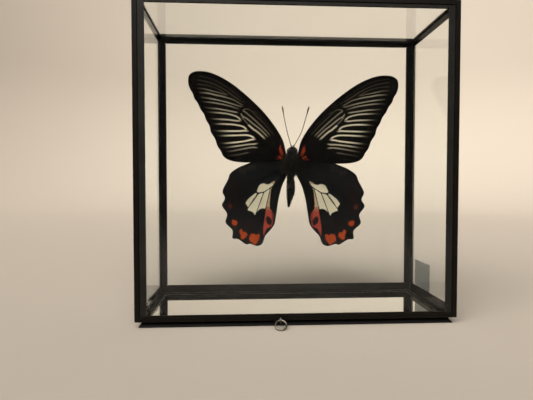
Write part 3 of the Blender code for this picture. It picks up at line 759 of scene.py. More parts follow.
def hindwing_scales():
    """Blue black, browner to the margin, with cream, tan, pink and orange patches."""
    paint = Paint("hindwing_scales", specular_ior_level=0.10)
    rows = scale_rows(paint)
    cloud = paint.grain(0.14, detail=4.0)
    ragged = paint.times(paint.less(paint.grain(3.2, detail=4.0), 0.5), 0.8)
    ground = paint.mix(cloud, (0.0032, 0.0038, 0.0046), (0.0068, 0.0074, 0.0084))
    brown = paint.times(paint.attribute("brown"), paint.step(cloud, 0.2, 0.7, 0.5, 1.0))
    colour = paint.mix(brown, ground, (0.0095, 0.0046, 0.0038))
    warm = paint.mix(paint.attribute("neck"), (0.44, 0.066, 0.044), (0.46, 0.20, 0.09))
    patches = (
        ("streak", (0.046, 0.035, 0.024), -0.30, 0.25),
        ("dull", (0.120, 0.0210, 0.0100), -0.5, 0.7),
        ("tan", (0.58, 0.42, 0.25), -0.25, 0.25),
        ("pale", (0.82, 0.745, 0.545), -0.20, 0.20),
        ("pink", warm, -0.30, 0.30),
        ("orange", (0.48, 0.066, 0.012), -0.30, 0.30),
    )
    coarse = paint.times(ragged, 2.0)
    for name, shade, low, high in patches:
        rough = coarse if name in ("orange", "dull") else ragged
        share = paint.step(paint.plus(paint.attribute(name), rough), low, high)
        deep = paint.mix(0.22, shade, (0.0, 0.0, 0.0))
        colour = paint.mix(share, colour, paint.mix(cloud, deep, shade))
    oval = paint.step(paint.plus(paint.attribute("oval"), ragged), -0.2, 0.3)
    colour = paint.mix(oval, colour, (0.0115, 0.0095, 0.0085))
    vein = paint.step(paint.attribute("vein"), 0.08, 0.24, 1.0, 0.0)
    colour = paint.mix(vein, colour, (0.0075, 0.0055, 0.0045))
    roughness = paint.step(rows, 0.1, 0.6, 0.56, 0.74)
    return paint.finished(colour, roughness, rows, 0.22, 0.04)


def insect_body():
    """Dark cuticle under short scales."""
    paint = Paint("insect_body", specular_ior_level=0.12, sheen_weight=0.02, sheen_roughness=0.5)
    cloud = paint.grain(0.6, detail=5.0)
    fuzz = paint.grain(6.0, detail=4.0, stretch=(1.0, 1.0, 0.3))
    colour = paint.mix(cloud, (0.0050, 0.0043, 0.0036), (0.013, 0.011, 0.0078))
    roughness = paint.step(fuzz, 0.3, 0.7, 0.6, 0.85)
    return paint.finished(colour, roughness, fuzz, 0.5, 0.08)


def insect_hair():
    """Hair that is black at its root and olive brown at its tip."""
    paint = Paint("insect_hair", specular_ior_level=0.3)
    cloud = paint.grain(0.5)
    tip = paint.times(paint.attribute("tip"), paint.step(cloud, 0.3, 0.7))
    paint.set("Base Color", paint.mix(tip, (0.0050, 0.0040, 0.0030), (0.076, 0.060, 0.032)))
    paint.set("Roughness", paint.step(cloud, 0.3, 0.7, 0.5, 0.7))
    return paint.material


def insect_horn():
    """Hard dark shell of the legs and antennae, a little red where it is thin."""
    paint = Paint("insect_horn", specular_ior_level=0.45)
    cloud = paint.grain(1.2, detail=4.0)
    fine = paint.grain(8.0, detail=2.0)
    shell = paint.mix(cloud, (0.0060, 0.0045, 0.0038), (0.026, 0.0125, 0.0085))
    colour = paint.mix(paint.attribute("club"), shell, (0.060, 0.020, 0.012))
    roughness = paint.step(cloud, 0.3, 0.7, 0.34, 0.52)
    return paint.finished(colour, roughness, fine, 0.3, 0.02)


def insect_eye():
    """Dark brown compound eye with fine facets."""
    paint = Paint("insect_eye", specular_ior_level=0.6, coat_weight=0.4, coat_roughness=0.12)
    facets = paint.cells(14.0)
    cloud = paint.grain(0.8, detail=2.0)
    colour = paint.mix(cloud, (0.010, 0.0065, 0.0045), (0.030, 0.017, 0.009))
    roughness = paint.step(facets, 0.0, 0.5, 0.20, 0.34)
    return paint.finished(colour, roughness, facets, 0.3, 0.02)


def clear_glue():
    """Set clear glue with small bubbles, slightly yellow."""
    paint = Paint("clear_glue", ior=1.48, transmission_weight=0.9)
    bubble = paint.step(paint.cells(1.6), 0.0, 0.22, 1.0, 0.0)
    cloud = paint.grain(0.4)
    colour = paint.mix(cloud, (0.93, 0.90, 0.78), (0.86, 0.82, 0.66))
    roughness = paint.step(bubble, 0.0, 1.0, 0.10, 0.35)
    return paint.finished(colour, roughness, paint.plus(bubble, cloud), 0.3, 0.15)


# Meshes


def add_item(name, data):
    item = bpy.data.objects.new(name, data)
    bpy.context.scene.collection.objects.link(item)
    return item


class Form:
    """Vertices, faces and named values for each vertex, gathered before they become a mesh."""

    def __init__(self):
        self.points = []
        self.faces = []
        self.values = {}

    def add(self, points, faces, **values):
        start = len(self.points)
        self.points.extend(tuple(p) for p in points)
        self.faces.extend(tuple(start + i for i in face) for face in faces)
        for name, numbers in values.items():
            known = self.values.setdefault(name, [])
            known.extend([0.0] * (start - len(known)))
            known.extend(numbers)

    def place(self, name, material, smooth=True):
        """Makes the form an object of the scene."""
        mesh = bpy.data.meshes.new(name)
        mesh.from_pydata(self.points, [], self.faces)
        mesh.validate()
        for key, numbers in self.values.items():
            numbers = list(numbers) + [0.0] * (len(self.points) - len(numbers))
            layer = mesh.attributes.new(key, "FLOAT", "POINT")
            layer.data.foreach_set("value", np.array(numbers, np.float32))
        mesh.materials.append(material)
        if smooth:
            mesh.shade_smooth()
        return add_item(name, mesh)

    def make(self, name, material, slot, body="case", replaces=(), smooth=True):
        """Makes the form a piece of the part, on its body and in the place of its CAD nodes."""
        item = self.place(name, material, smooth)
        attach(item, body)
        if replaces:
            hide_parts(*replaces)


def turns(count):
    """The angles of even steps round a circle."""
    return [2 * math.pi * k / count for k in range(count)]


def flipped(faces):
    return [tuple(reversed(face)) for face in faces]


def ring_faces(rings, sides, start=0, closed=False):
    """Faces between rings of vertices that follow each other from start."""
    faces = []
    for r in range(rings if closed else rings - 1):
        low, high = start + r * sides, start + (r + 1) % rings * sides
        for k in range(sides):
            m = (k + 1) % sides
            faces.append((low + k, low + m, high + m, high + k))
    return faces


def capped_faces(rings, sides):
    """Faces between rings of vertices, with a cap at each end."""
    last = (rings - 1) * sides
    return ring_faces(rings, sides) + [tuple(reversed(range(sides))), tuple(range(last, last + sides))]


def tube(points, radii, sides):
    """Vertices and faces of a round tube along the points, closed at both ends."""
    points = [Vector(p) for p in points]
    across = None
    found = []
    for i, point in enumerate(points):
        along = (points[min(i + 1, len(points) - 1)] - points[max(i - 1, 0)]).normalized()
        if across is None:
            across = along.orthogonal().normalized()
        across = (across - along * across.dot(along)).normalized()
        other = along.cross(across)
        for turn in turns(sides):
            found.append(point + (across * math.cos(turn) + other * math.sin(turn)) * radii[i])
    return found, capped_faces(len(points), sides)


def in_case(out, up, depth):
    """A point from millimetres right of and above the butterfly's centre and behind the case's front."""
    across, back, height = (measure * MILLIMETRE for measure in (out, depth, up))
    return Vector((BUTTERFLY_X + across, FRONT_Y + back, BUTTERFLY_Z + height))


# Wings


def vein_rows(veins):
    """Places along each vein and beside it, so that the mesh follows the veins, and the veins' paths."""
    paths = [fine_path(vein) for vein in veins.values()]
    rows = []
    for path in paths:
        along = np.gradient(path, axis=0)
        along /= np.linalg.norm(along, axis=1)[:, None]
        across = np.column_stack([-along[:, 1], along[:, 0]])
        for offset in VEIN_ROWS:
            for way in ((1,) if offset == 0 else (-1, 1)):
                row = path + across * offset * way
                rows.append(row[nearest_vein(row, paths) > 0.9 * offset - 1e-6])
    return np.vstack(rows), paths


def thin_out(places, spacing):
    """Drops places that crowd another one."""
    kept = {}
    for place in places:
        cell = (round(place[0] / spacing), round(place[1] / spacing))
        kept.setdefault(cell, place)
    return np.array(list(kept.values()))


def grid_places(low, high):
    """An even grid of triangles over a rectangle."""
    pitch = GRID_SPACING * math.sqrt(3) / 2
    grid = []
    for r, up in enumerate(np.arange(low[1], high[1], pitch)):
        start = low[0] + (r % 2) * GRID_SPACING / 2
        grid.extend((out, up) for out in np.arange(start, high[0], GRID_SPACING))
    return np.array(grid)


def wing_plan(outline, veins, lines):
    """The flat triangles of a wing: places, faces and the veins' paths."""
    rim = spaced_path(smooth_path(outline, OUTLINE_STEPS, closed=True), EDGE_SPACING, closed=True)
    rows, paths = vein_rows(veins)
    grid = grid_places(rim.min(axis=0), rim.max(axis=0))
    grid = grid[nearest_vein(grid, paths) > GRID_CLEARANCE]
    inner = [thin_out(rows, CROWDING)]
    for line in lines:
        middle = fine_path(line)
        inner.append(middle[nearest_vein(middle, paths) > GRID_CLEARANCE])
        grid = grid[path_distance(grid, middle) > LINE_CLEARANCE]
    inner = np.vstack(inner + [grid])
    inner = inner[depth_inside(inner, rim, rounded=False) > RIM_CLEARANCE]
    places = [Vector(place) for place in np.vstack([rim, inner])]
    found = geometry.delaunay_2d_cdt(places, [], [list(range(len(rim)))], 1, 1e-6)
    return np.array([tuple(place) for place in found[0]]), [tuple(face) for face in found[2]], paths


def rim_order(faces):
    """The edges with a face on one side only, each in the direction its face has it."""
    edges = {}
    for face in faces:
        for pair in zip(face, face[1:] + face[:1]):
            edges[pair] = True
    return [(a, b) for a, b in edges if (b, a) not in edges]


def wing_form(places, faces, side, setting, layer, rim, values, relief, thickness):
    """Both surfaces of a wing and the narrow band round its rim."""
    stretch, tilt, pattern_rise = setting
    out = places[:, 0] * stretch
    moved = ease(places[:, 0], *SHIFT_OUT) * ease(rim, *SHIFT_IN)
    up = places[:, 1] + places[:, 0] * tilt + pattern_rise * moved
    lift = WING_LIFT * (out / WING_SPAN_MM) ** 2
    middle = WING_PLANE - lift + layer * LAYER_GAP + relief
    form = Form()
    for way in (-1, 1):
        points = np.column_stack([
            BUTTERFLY_X + side * out * MILLIMETRE,
            FRONT_Y + middle + way * thickness,
            BUTTERFLY_Z + up * MILLIMETRE,
        ])
        form.add(points, faces if way * side < 0 else flipped(faces), **values)
    count = len(places)
    for a, b in rim_order(faces):
        band = (a, b, b + count, a + count)
        form.faces.append(band if side < 0 else tuple(reversed(band)))
    return form


def vein_relief(places, vein, rim, seed):
    """How far the middle surface leaves the wing's plane, and half the wing's thickness."""
    sag = MEMBRANE_SAG * (1 - np.exp(-vein / 1.3)) * ease(rim, 0.0, 2.0)
    drift = MEMBRANE_WAVE * wave(places, 11.0, seed) + MEMBRANE_RIPPLE * wave(places, 3.0, seed + 5)
    taper = 0.35 + 0.65 * ease(rim, 0.0, 9.0)
    ridge = VEIN_HEIGHT * taper * np.exp(-((vein / VEIN_SPREAD) ** 2))
    return sag + drift, MEMBRANE + ridge


def forewing_values(places, vein, rim, word):
    """The values that the forewing's material reads."""
    pale = np.full(len(places), -9.0)
    light, shown = np.zeros(len(places)), np.zeros(len(places))
    for half, root_light, outer_light, points in PALE_LINES + ((*FRONT_LINE_LIGHT[word], FRONT_LINE),):
        line = fine_path(points)
        length = np.linalg.norm(np.diff(line, axis=0), axis=1).sum()
        away, along = nearest_on_path(places, line)
        nearer = half - away > pale
        pale = np.where(nearer, half - away, pale)
        light = np.where(nearer, root_light + (outer_light - root_light) * along / length, light)
        shown = np.where(nearer, 0.25 + 0.75 * ease(along, 0.0, 1.4), shown)
    return {
        "vein": vein,
        "pale": pale,
        "light": light * ease(rim, *LINE_DIMMING),
        "shown": shown * ease(rim, *LINE_FADE),
        "margin": 1 - ease(rim, 0.5, 6.0),
        "red": nearest_patch(places, RED_BASE),
    }


def nearest_patch(places, patches):
    """Distance in from the edge of whichever patch each place is deepest in."""
    return np.max([depth_inside(places, patch) for patch in patches], axis=0)


def streak_depth(places):
    """Distance in from the edge of the nearest faint streak."""
    streaks = []
    for out, up, length, tilt in TAN_STREAKS:
        way = np.array([math.sin(math.radians(tilt)), -math.cos(math.radians(tilt))]) * length / 2
        middle = np.array([out, up])
        streaks.append(STREAK_HALF_WIDTH - path_distance(places, np.array([middle - way, middle + way])))
    return np.max(streaks, axis=0)


def hindwing_values(places, vein):
    """The values that the hindwing's material reads."""
    bold = path_distance(places, smooth_path(HINDWING_VEINS["cubitus"], PATH_STEPS))
    bold = bold - CELL_VEIN_EXTRA * ease(places[:, 0], *CELL_VEIN_GROWTH)
    tail = depth_inside(places, CELL_STREAK) - 0.5 * (1 - ease(places[:, 0], *STREAK_TAPER))
    brown = [0.9 * ease(depth_in_oval(places, area), 0.0, 2.5) for area in BROWN_AREAS]
    return {
        "vein": np.minimum(vein, bold),
        "pale": nearest_patch(places, (CELL_PATCH, OUTER_PATCH, MIDDLE_PATCH, INNER_PATCH)),
        "tan": np.maximum(depth_inside(places, TAN_STRIP), tail),
        "streak": streak_depth(places),
        "pink": depth_inside(places, PINK_PATCH),
        "neck": ease(places[:, 1], *TAN_TURN),
        "oval": depth_in_oval(places, PINK_OVAL),
        "orange": nearest_patch(places, ORANGE_SPOTS),
        "dull": depth_in_oval(places, DULL_SPOT),
        "brown": np.max(brown, axis=0),
    }


def add_wings(paints):
    """The four wings, with the hindwings in the layer behind the forewings."""
    lines = [line[-1] for line in PALE_LINES] + [FRONT_LINE]
    kinds = (
        ("forewing", FOREWING_OUTLINE, FOREWING_VEINS, lines, 0, 2.0),
        ("hindwing", HINDWING_OUTLINE, HINDWING_VEINS, [], 1, 7.0),
    )
    for kind, outline, veins, rows, layer, seed in kinds:
        places, faces, paths = wing_plan(outline, veins, rows)
        edge = smooth_path(outline, OUTLINE_STEPS, closed=True)
        rim = depth_inside(places, edge, rounded=False).clip(0.0)
        vein = nearest_vein(places, paths)
        for word, side in SIDES.items():
            if kind == "forewing":
                values = forewing_values(places, vein, rim, word)
            else:
                values = hindwing_values(places, vein)
            relief, thickness = vein_relief(places, values["vein"].clip(0.0), rim, seed + side)
            setting = WING_SET[kind][word]
            form = wing_form(places, faces, side, setting, layer, rim, values, relief, thickness)
            name = f"{kind}_{word}"
            form.make(f"scaled_{name}", paints[kind], slot=f"{kind}_scales", replaces=(name,))


# Body, head, antennae and legs


def body_table():
    """The body's sections along a smooth line, with the abdomen's joints pinched."""
    rows = smooth_path(BODY_SECTIONS, SECTION_STEPS)
    pinch = sum(np.exp(-(((rows[:, 0] - joint) / JOINT_SPREAD) ** 2)) for joint in SEGMENT_JOINTS)
    swell = 1.0 - JOINT_PINCH * pinch
    rows[:, 1] *= swell
    rows[:, 2] *= swell
    return rows


def body_point(row, turn):
    up, half_width, half_depth, shift = row
    depth = BODY_PLANE / MILLIMETRE + half_depth * math.sin(turn)
    return in_case(shift + half_width * math.cos(turn), up, depth)


def add_body(paint, rows):
    points = []
    for row in rows:
        middle = in_case(row[3], row[0], BODY_PLANE / MILLIMETRE)
        for turn in turns(BODY_SIDES):
            point = body_point(row, turn)
            rough = noise.noise(point * 900) * 0.06 + noise.noise(point * 2500) * 0.03
            points.append(middle + (point - middle) * (1 + rough))
    form = Form()
    form.add(points, flipped(capped_faces(len(rows), BODY_SIDES)))
    form.make("butterfly_trunk", paint, slot="insect_body", replaces=("butterfly_body",))


def hair(form, root, way, length, width, droop, brown):
    """One tapered three sided hair that bends towards droop, with its tip as brown as told."""
    points, radii = [], []
    for stop in HAIR_STOPS:
        points.append(root + way * length * stop + droop * length * stop * stop)
        radii.append(width * (1.0 - 0.92 * stop))
    found, faces = tube(points, radii, 3)
    form.add(found, faces, tip=[stop * brown for stop in HAIR_STOPS for _ in range(3)])


def add_body_hair(paint, rows):
    """Long hair on the thorax, short hair on the head and abdomen."""
    luck = np.random.default_rng(RANDOM_SEED)
    form = Form()
    down = Vector((0.0, 0.0, -1.0))
    for _ in range(BODY_HAIRS):
        row = rows[luck.integers(2, len(rows) - 3)]
        turn = luck.uniform(0.0, 2 * math.pi)
        root = body_point(row, turn)
        normal = Vector((math.cos(turn) / row[1], math.sin(turn) / row[2], 0.0)).normalized()
        furry, on_head = row[0] > ABDOMEN_TOP, row[0] > HEAD_BASE
        lengths, lean, width = FUR if furry else NAP
        length = luck.uniform(*lengths) * (HEAD_HAIR_SHARE if on_head else 1.0)
        side = Vector((luck.normal(0, 0.25), luck.normal(0, 0.25), luck.normal(0, 0.25)))
        way = (normal + down * lean + side).normalized()
        brown = luck.uniform(0.0, 0.35) if on_head else luck.uniform(0.2, 1.0)
        hair(form, root - normal * 0.0001, way, length * MILLIMETRE, width, down * 0.25, brown)
    form.make("body_hair", paint, slot="insect_body")


def add_root_hair(paint, rows):
    """Hair that starts on the thorax and lies over the wing roots, before and behind them."""
    luck = np.random.default_rng(RANDOM_SEED + 1)
    form = Form()
    droop = Vector((0.0, 0.0, -0.08))
    lowest, highest = ROOT_HAIR_RANGE
    thorax = [row for row in rows if lowest < row[0] < highest]
    for side in SIDES.values():
        for _ in range(ROOT_HAIRS):
            row = thorax[luck.integers(0, len(thorax))]
            front = luck.random() < ROOT_HAIR_IN_FRONT
            turn = math.radians(luck.uniform(*ROOT_HAIR_TURNS)) * (-1 if front else 1)
            root = body_point(row, turn if side > 0 else math.pi - turn)
            fullness = 1.0 - (abs(row[0] - ROOT_HAIR_MIDDLE) / ROOT_HAIR_SPREAD) ** 2
            length = 1.5 + 7.5 * luck.random() ** 1.6 * max(fullness, 0.06)
            sink = (FRONT_HAIR_PLANE if front else BACK_HAIR_PLANE) - (root.y - FRONT_Y) / MILLIMETRE
            tilt = 0.09 * (row[0] + 3.0) + luck.normal(0.0, 0.16)
            way = Vector((side, sink / length, tilt)).normalized()
            hair(form, root, way, length * MILLIMETRE, ROOT_HAIR_WIDTH, droop, luck.uniform(0.1, 0.9))
    form.make("wing_root_hair", paint, slot="insect_body")


def oval_faces(form, centre, radii):
    """Adds a closed oval to a form."""
    wide, deep, tall = radii
    points = [centre + Vector((0.0, 0.0, tall))]
    for i in range(1, OVAL_RINGS):
        tilt = math.pi * i / OVAL_RINGS
        flat, height = math.sin(tilt), tall * math.cos(tilt)
        for turn in turns(OVAL_SIDES):
            x, y = wide * flat * math.cos(turn), deep * flat * math.sin(turn)
            points.append(centre + Vector((x, y, height)))
    points.append(centre - Vector((0.0, 0.0, tall)))
    faces = flipped(ring_faces(OVAL_RINGS - 1, OVAL_SIDES, start=1))
    last = len(points) - 1
    for k in range(OVAL_SIDES):
        m = (k + 1) % OVAL_SIDES
        faces.append((0, 1 + k, 1 + m))
        faces.append((last, last - OVAL_SIDES + m, last - OVAL_SIDES + k))
    form.add(points, faces)


def add_head_parts(paints):
    """Two bulging eyes and the pair of hairy palps before them."""
    eyes = Form()
    out, up, depth = EYE_PLACE
    for side in SIDES.values():
        oval_faces(eyes, in_case(HEAD_SHIFT + side * out, up, depth), EYE_RADII)
    eyes.make("butterfly_eyes", paints["eye"], slot="insect_horn")
    luck = np.random.default_rng(RANDOM_SEED + 2)
    palps = Form()
    straight = Vector((0.0, 0.0, 0.0))
    for side in SIDES.values():
        path = [in_case(PALP_SHIFT + side * out, up, depth) for out, up, depth in PALP_PATH]
        points = [Vector(point) for point in smooth_path([tuple(place) for place in path], PATH_STEPS)]
        last = len(points) - 1
        radii = [PALP_RADIUS * math.sin(math.pi * (0.25 + 0.72 * i / last)) for i in range(last + 1)]
        palps.add(*tube(points, radii, ROD_SIDES))
        for _ in range(PALP_HAIRS):
            root = points[luck.integers(0, len(points))]
            way = Vector((luck.normal(0, 0.6), luck.normal(0, 0.6), 1.0)).normalized()
            hair(palps, root, way, luck.uniform(0.3, 0.8) * MILLIMETRE, PALP_HAIR_WIDTH, straight, 0.7)
    palps.make("butterfly_palps", paints["hair"], slot="insect_body")


def add_antennae(paint):
    """Ringed shafts with a club at the tip."""
    for word, side in SIDES.items():
        path = spaced_path(smooth_path(ANTENNA_PATHS[word], 10), ANTENNA_SPACING)
        points, radii, clubs = [], [], []
        for i, (out, up) in enumerate(path):
            share = i / (len(path) - 1)
            sink = 0.5 * (1 - ease(share, 0.0, 0.15))
            club = ease(share, 0.80, 0.93) * (1 - 0.55 * ease(share, 0.95, 1.0))
            ringed = 1 + 0.10 * math.cos(2 * math.pi * i / 4)
            points.append(in_case(side * out, up, ANTENNA_PLANE + sink))
            radii.append((ANTENNA_RADIUS + ANTENNA_RADIUS * club) * ringed)
            clubs.extend([club] * ROD_SIDES)
        form = Form()
        form.add(*tube(points, radii, ROD_SIDES), club=clubs)
        form.make(f"ringed_antenna_{word}", paint, slot="insect_horn", replaces=(f"antenna_{word}",))


def leg_radius(share, knee):
    """A leg's half thickness in millimetres: thigh, shin, then the foot's small joints."""
    if share < knee:
        return 0.30 - 0.10 * abs(share / knee - 0.45)
    beyond = (share - knee) / (1 - knee)
    if beyond < 0.5:
        return 0.19 - 0.06 * beyond
    return 0.11 + 0.025 * math.cos(2 * math.pi * 5 * beyond)


def add_legs(paint):
    """Six legs folded behind the thorax, each with two claws."""
    for place, path in LEG_PATHS.items():
        for word, side in SIDES.items():
            line = spaced_path(smooth_path(path, 8), LEG_SPACING)
            points = [in_case(side * out, up, depth) for out, up, depth in line]
            last = len(points) - 1
            radii = [leg_radius(i / last, KNEES[place]) * MILLIMETRE for i in range(last + 1)]
            form = Form()
            form.add(*tube(points, radii, ROD_SIDES))
            end = points[-1]
            for way in (-1, 1):
                bends = [end + Vector((way * out, y, z)) * MILLIMETRE for out, y, z in CLAW_BENDS]
                form.add(*tube([end, *bends], CLAW_RADII, 6))
            name = f"leg_{place}_{word}"
            form.make(f"jointed_{name}", paint, slot="insect_horn", replaces=(name,))


def add_glue(paint):
    """A round dab, spread where it was pressed on the glass."""
    low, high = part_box("glue_dab")
    middle = (low + high) / 2
    reach = (high.x - low.x) / 2
    rings, sides = 9, 48
    points = []
    for r in range(rings):
        share = r / (rings - 1)
        bulge = 1.0 - 0.22 * math.sin(math.pi * share)
        for turn in turns(sides):
            uneven = 1 + 0.05 * math.sin(3 * turn + 0.6) + 0.03 * math.sin(5 * turn)
            size = reach * bulge * uneven * (0.88 + 0.12 * share)
            y = low.y + (high.y - low.y) * share
            points.append((middle.x + size * math.cos(turn), y, middle.z + size * math.sin(turn)))
    form = Form()
    form.add(points, flipped(capped_faces(rings, sides)))
    form.make("glue_drop", paint, slot="clear_glue", replaces=("glue_dab",))


# The case


def torus_form(centre, major, minor, around, across, flat, upright):
    """A wire ring round a centre, in the plane of two directions."""
    flat, upright = Vector(flat).normalized(), Vector(upright).normalized()
    axis = flat.cross(upright)
    points = []
    for turn in turns(around):
        outward = flat * math.cos(turn) + upright * math.sin(turn)
        for tilt in turns(across):
            middle = Vector(centre) + outward * (major + minor * math.cos(tilt))
            points.append(middle + axis * minor * math.sin(tilt))
    form = Form()
    form.add(points, flipped(ring_faces(around, across, closed=True)))
    return form


def add_ring(paint):
    """The pull ring leans on the table, and its eye is soldered to the front bottom strip."""
    pivot = Vector(RING_PIVOT)
    lean = math.asin(RING_DROP / (2 * RING_RADIUS))
    reach = Vector((0.0, -math.cos(lean), -math.sin(lean)))
    ring = torus_form(pivot + reach * RING_RADIUS, RING_RADIUS, RING_WIRE, 96, 24, (1, 0, 0), reach)
    ring.make("pull_ring", paint, body="ring", slot="bright_steel", replaces=("ring",))
    eye = torus_form(pivot, LOOP_RADIUS, LOOP_WIRE, 64, 18, (0, 1, 0), (0, 0, 1))
    oval_faces(eye, pivot + Vector((0.0, LOOP_SOLDER_BACK, 0.0)), LOOP_SOLDER_RADII)
    eye.make("wire_eye", paint, slot="bright_steel", replaces=("ring_eye",))


def add_label(paint):
    """A blank sticker with worn edges and one corner lifting a little."""
    low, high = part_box("label")
    points, border = [], []
    width, height = high.y - low.y, high.z - low.z
    for face in (1, 0):
        for r in range(LABEL_ROWS + 1):
            for c in range(LABEL_COLUMNS + 1):
                y, z = c / LABEL_COLUMNS, r / LABEL_ROWS
                from_edge = min(y * width, (1 - y) * width, z * height, (1 - z) * height) / MILLIMETRE
                from_corner = math.hypot((1 - y) * width, z * height) / MILLIMETRE
                lifted = LABEL_LIFT * (1 - ease(from_corner, 0.0, LABEL_LIFT_REACH))
                fray = LABEL_FRAY * noise.noise(Vector((y * 30, z * 30, 2.0))) if from_edge < 0.1 else 0.0
                x = low.x + LABEL_PAPER * face + lifted
                points.append((x, low.y + y * width + fray, low.z + z * height + fray))
                border.append(from_edge)
    form = Form()
    form.add(points, label_faces(), border=border)
    form.make("blank_sticker", paint, slot="grey_label", replaces=("label",))


def label_faces():
    """The faces of two grids, one before the other, and of the band round them."""
    step = LABEL_COLUMNS + 1
    count = (LABEL_ROWS + 1) * step
    faces = []
    for r in range(LABEL_ROWS):
        for c in range(LABEL_COLUMNS):
            a = r * step + c
            faces.append((a, a + 1, a + step + 1, a + step))
            faces.append((count + a, count + a + step, count + a + step + 1, count + a + 1))
    rim = list(range(LABEL_COLUMNS))
    rim += [r * step + LABEL_COLUMNS for r in range(LABEL_ROWS)]
    rim += [LABEL_ROWS * step + c for c in range(LABEL_COLUMNS, 0, -1)]
    rim += [r * step for r in range(LABEL_ROWS, 0, -1)]
    for a, b in zip(rim, rim[1:] + rim[:1]):
        faces.append((b, a, a + count, b + count))
    return faces


def box_faces(form, low, high):
    """Adds a thin closed block to a form, with its faces outwards."""
    points = [(x, y, z) for x in (low[0], high[0]) for y in (low[1], high[1]) for z in (low[2], high[2])]
    form.add(points, [(0, 1, 3, 2), (4, 6, 7, 5), (0, 4, 5, 1), (2, 3, 7, 6), (0, 2, 6, 4), (1, 5, 7, 3)])


def add_glazing_tape(paint):
    """Black tape that holds the side panes to their strips, pressed on to the glass."""
    form = Form()
    for word, side in SIDES.items():
        low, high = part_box(f"pane_{word}")
        face = high.x if side > 0 else low.x
        left, right = sorted((face - side * TAPE_BITE, face + side * TAPE_THICKNESS))
        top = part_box(f"rail_{word}_top")[0].z - TAPE_MARGIN
        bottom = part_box(f"rail_{word}_bottom")[1].z + TAPE_MARGIN
        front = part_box(f"post_front_{word}")[1].y + TAPE_MARGIN
        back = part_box(f"post_back_{word}")[0].y - TAPE_MARGIN
        box_faces(form, (left, low.y, top), (right, high.y, high.z))
        box_faces(form, (left, low.y, low.z), (right, high.y, bottom))
        box_faces(form, (left, low.y, bottom), (right, front, top))
        box_faces(form, (left, back, bottom), (right, high.y, top))
    form.make("glazing_tape", paint, slot="black_metal", smooth=False)


def add_solder(paint):
    """Solder in the slits where the strips meet at the corners."""
    form = Form()
    low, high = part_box("post_front_left")[0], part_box("post_back_right")[1]
    floor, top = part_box("rail_front_bottom")[0].z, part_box("rail_front_top")[1].z
    ends = ({-1: low.x, 1: high.x}, {-1: low.y, 1: high.y}, {-1: floor, 1: top})
    for face in (0, 1, 2):
        first, second = (axis for axis in (0, 1, 2) if axis != face)
        for side, one, two in product((-1, 1), repeat=3):
            picks = {face: side, first: one, second: two}
            add_solder_bead(form, face, (first, second), picks, ends)
    form.make("corner_solder", paint, slot="black_metal", smooth=False)


def strip_name(axis, picks):
    """The CAD strip that runs along axis at the given sides of the other two."""
    across, back, up = (STRIP_WORDS[k].get(picks[k]) for k in (0, 1, 2))
    if axis == 2:
        return f"post_{back}_{across}"
    return f"rail_{back if axis == 0 else across}_{up}"


def add_solder_bead(form, face, across, picks, ends):
    """One bar of solder along a mitre, just under the strips' outer faces."""
    corner = Vector([ends[axis][picks[axis]] for axis in (0, 1, 2)])
    reach, inward = Vector(), Vector()
    for own, other in (across, across[::-1]):
        low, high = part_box(strip_name(other, picks))
        reach[own] = -picks[own] * (high[own] - low[own])
    inward[face] = -picks[face]
    along = reach.normalized()
    sideways = along.cross(inward) * SOLDER_WIDTH / 2
    start, end = corner + along * SOLDER_START, corner + reach - along * SOLDER_END
    points = []
    for place in (start, end):
        for way, depth in ((-1, SOLDER_TOP), (1, SOLDER_TOP), (1, SOLDER_BASE), (-1, SOLDER_BASE)):
            points.append(place + sideways * way + inward * depth)
    form.add(points, flipped(capped_faces(2, 4)))


def dress(nodes, names, material, bevel_mm=0.0):
    """Gives CAD nodes their material, and softens their edges."""
    for name in names:
        item = nodes[name]
        item.data.materials.clear()
        item.data.materials.append(material)
        if bevel_mm:
            soften = item.modifiers.new("soft_edges", "BEVEL")
            soften.width = bevel_mm * MILLIMETRE
            soften.segments = 2
            soften.limit_method = "ANGLE"
            soften.harden_normals = True


def dress_case(nodes, paints):
    strips = [n for n in nodes if n.startswith(("post_", "rail_"))]
    panes = [n for n in nodes if n.startswith("pane_") and n != "pane_front"]
    dress(nodes, strips, paints["metal"], bevel_mm=0.10)
    dress(nodes, panes, paints["glass"])
    dress(nodes, ["pane_front"], paints["front_glass"])
    dress(nodes, ["mirror_floor"], paints["mirror"], bevel_mm=0.2)
    dress(nodes, ["plinth"], paints["board"], bevel_mm=0.15)


# Stage, light and camera


def stage_material():
    """Pale sweep that darkens far in front of the case, so that the glass has little to reflect."""
    paint = Paint("pale_sweep", roughness=0.9, specular_ior_level=0.2)
    pale = paint.step(paint.split()["Y"], *FLOOR_FADE)
    paint.set("Base Color", paint.mix(pale, FLOOR_DIM, FLOOR_PALE))
    return paint.material


def add_stage():
    """A round floor that curves up into a wall on all sides."""
    edge = FLOOR_RINGS[-1]
    profile = [(reach, 0.0) for reach in FLOOR_RINGS]
    for i in range(1, SWEEP_STEPS + 1):
        turn = math.pi / 2 * i / SWEEP_STEPS
        rise = SWEEP_RADIUS - SWEEP_RADIUS * math.cos(turn)
        profile.append((edge + SWEEP_RADIUS * math.sin(turn), rise))
    profile.append((edge + SWEEP_RADIUS, WALL_TOP))
    round_way = [(math.cos(turn), math.sin(turn)) for turn in turns(SWEEP_SIDES)]
    points = [(reach * x, reach * y, height) for reach, height in profile for x, y in round_way]
    form = Form()
    form.add(points, ring_faces(len(profile), SWEEP_SIDES) + [tuple(range(SWEEP_SIDES))])
    form.place("stage_sweep", stage_material())


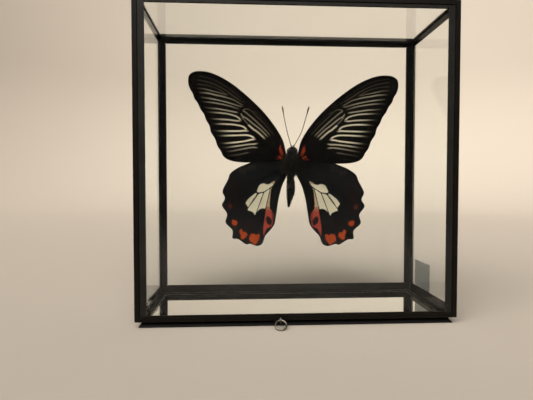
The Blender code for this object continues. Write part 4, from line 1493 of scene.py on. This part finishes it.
def add_wall_light():
    """A soft lamp on the wall behind the case."""
    lamp = bpy.data.lights.new("wall_light", "AREA")
    lamp.shape = "DISK"
    lamp.size = WALL_LIGHT_SIZE
    lamp.energy = WALL_LIGHT_POWER
    lamp.color = WALL_LIGHT_COLOUR
    item = add_item("wall_light", lamp)
    item.location = WALL_LIGHT_PLACE
    way = Vector(WALL_LIGHT_TARGET) - Vector(WALL_LIGHT_PLACE)
    item.rotation_euler = way.to_track_quat("-Z", "Y").to_euler()


def add_world():
    """A dim room with one large soft light, high in front of the case and a little to the left."""
    world = bpy.data.worlds.new("soft_room")
    world.use_nodes = True
    room = Nodes(world.node_tree)
    way = room.node("ShaderNodeTexCoord").outputs["Generated"]
    toward = room.dot(way, Vector(SOFT_LIGHT_WAY).normalized())
    glow = room.step(toward, SOFT_LIGHT_EDGE, SOFT_LIGHT_CORE, ROOM_LEVEL, SOFT_LIGHT_LEVEL)
    sky = world.node_tree.nodes["Background"]
    room.feed(sky.inputs["Strength"], glow)
    room.feed(sky.inputs["Color"], ROOM_COLOUR)
    bpy.context.scene.world = world


def add_camera():
    lens = bpy.data.cameras.new("camera")
    lens.lens = CAMERA_LENS
    lens.sensor_width = 36.0
    lens.clip_start = 0.01
    item = add_item("camera", lens)
    item.location = CAMERA_PLACE
    item.rotation_euler = (math.radians(CAMERA_TILT), 0.0, math.radians(CAMERA_TURN))
    bpy.context.scene.camera = item


def make_paints():
    return {
        "metal": black_metal(),
        "tape": glazing_tape(),
        "glass": clear_glass("clear_glass", PANE_INDEX),
        "front_glass": clear_glass("front_glass", FRONT_PANE_INDEX),
        "mirror": mirror(),
        "board": black_board(),
        "steel": bright_steel(),
        "label": grey_label(),
        "forewing": forewing_scales(),
        "hindwing": hindwing_scales(),
        "body": insect_body(),
        "hair": insect_hair(),
        "horn": insect_horn(),
        "eye": insect_eye(),
        "glue": clear_glue(),
    }


def main():
    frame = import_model()
    paints = make_paints()
    dress_case(frame["nodes"], paints)
    add_wings(paints)
    rows = body_table()
    add_body(paints["body"], rows)
    add_body_hair(paints["hair"], rows)
    add_root_hair(paints["hair"], rows)
    add_head_parts(paints)
    add_antennae(paints["horn"])
    add_legs(paints["horn"])
    add_glue(paints["glue"])
    add_glazing_tape(paints["tape"])
    add_solder(paints["metal"])
    add_ring(paints["steel"])
    add_label(paints["label"])
    add_stage()
    add_world()
    add_wall_light()
    add_camera()
    bpy.context.scene.view_settings.view_transform = "Standard"


main()
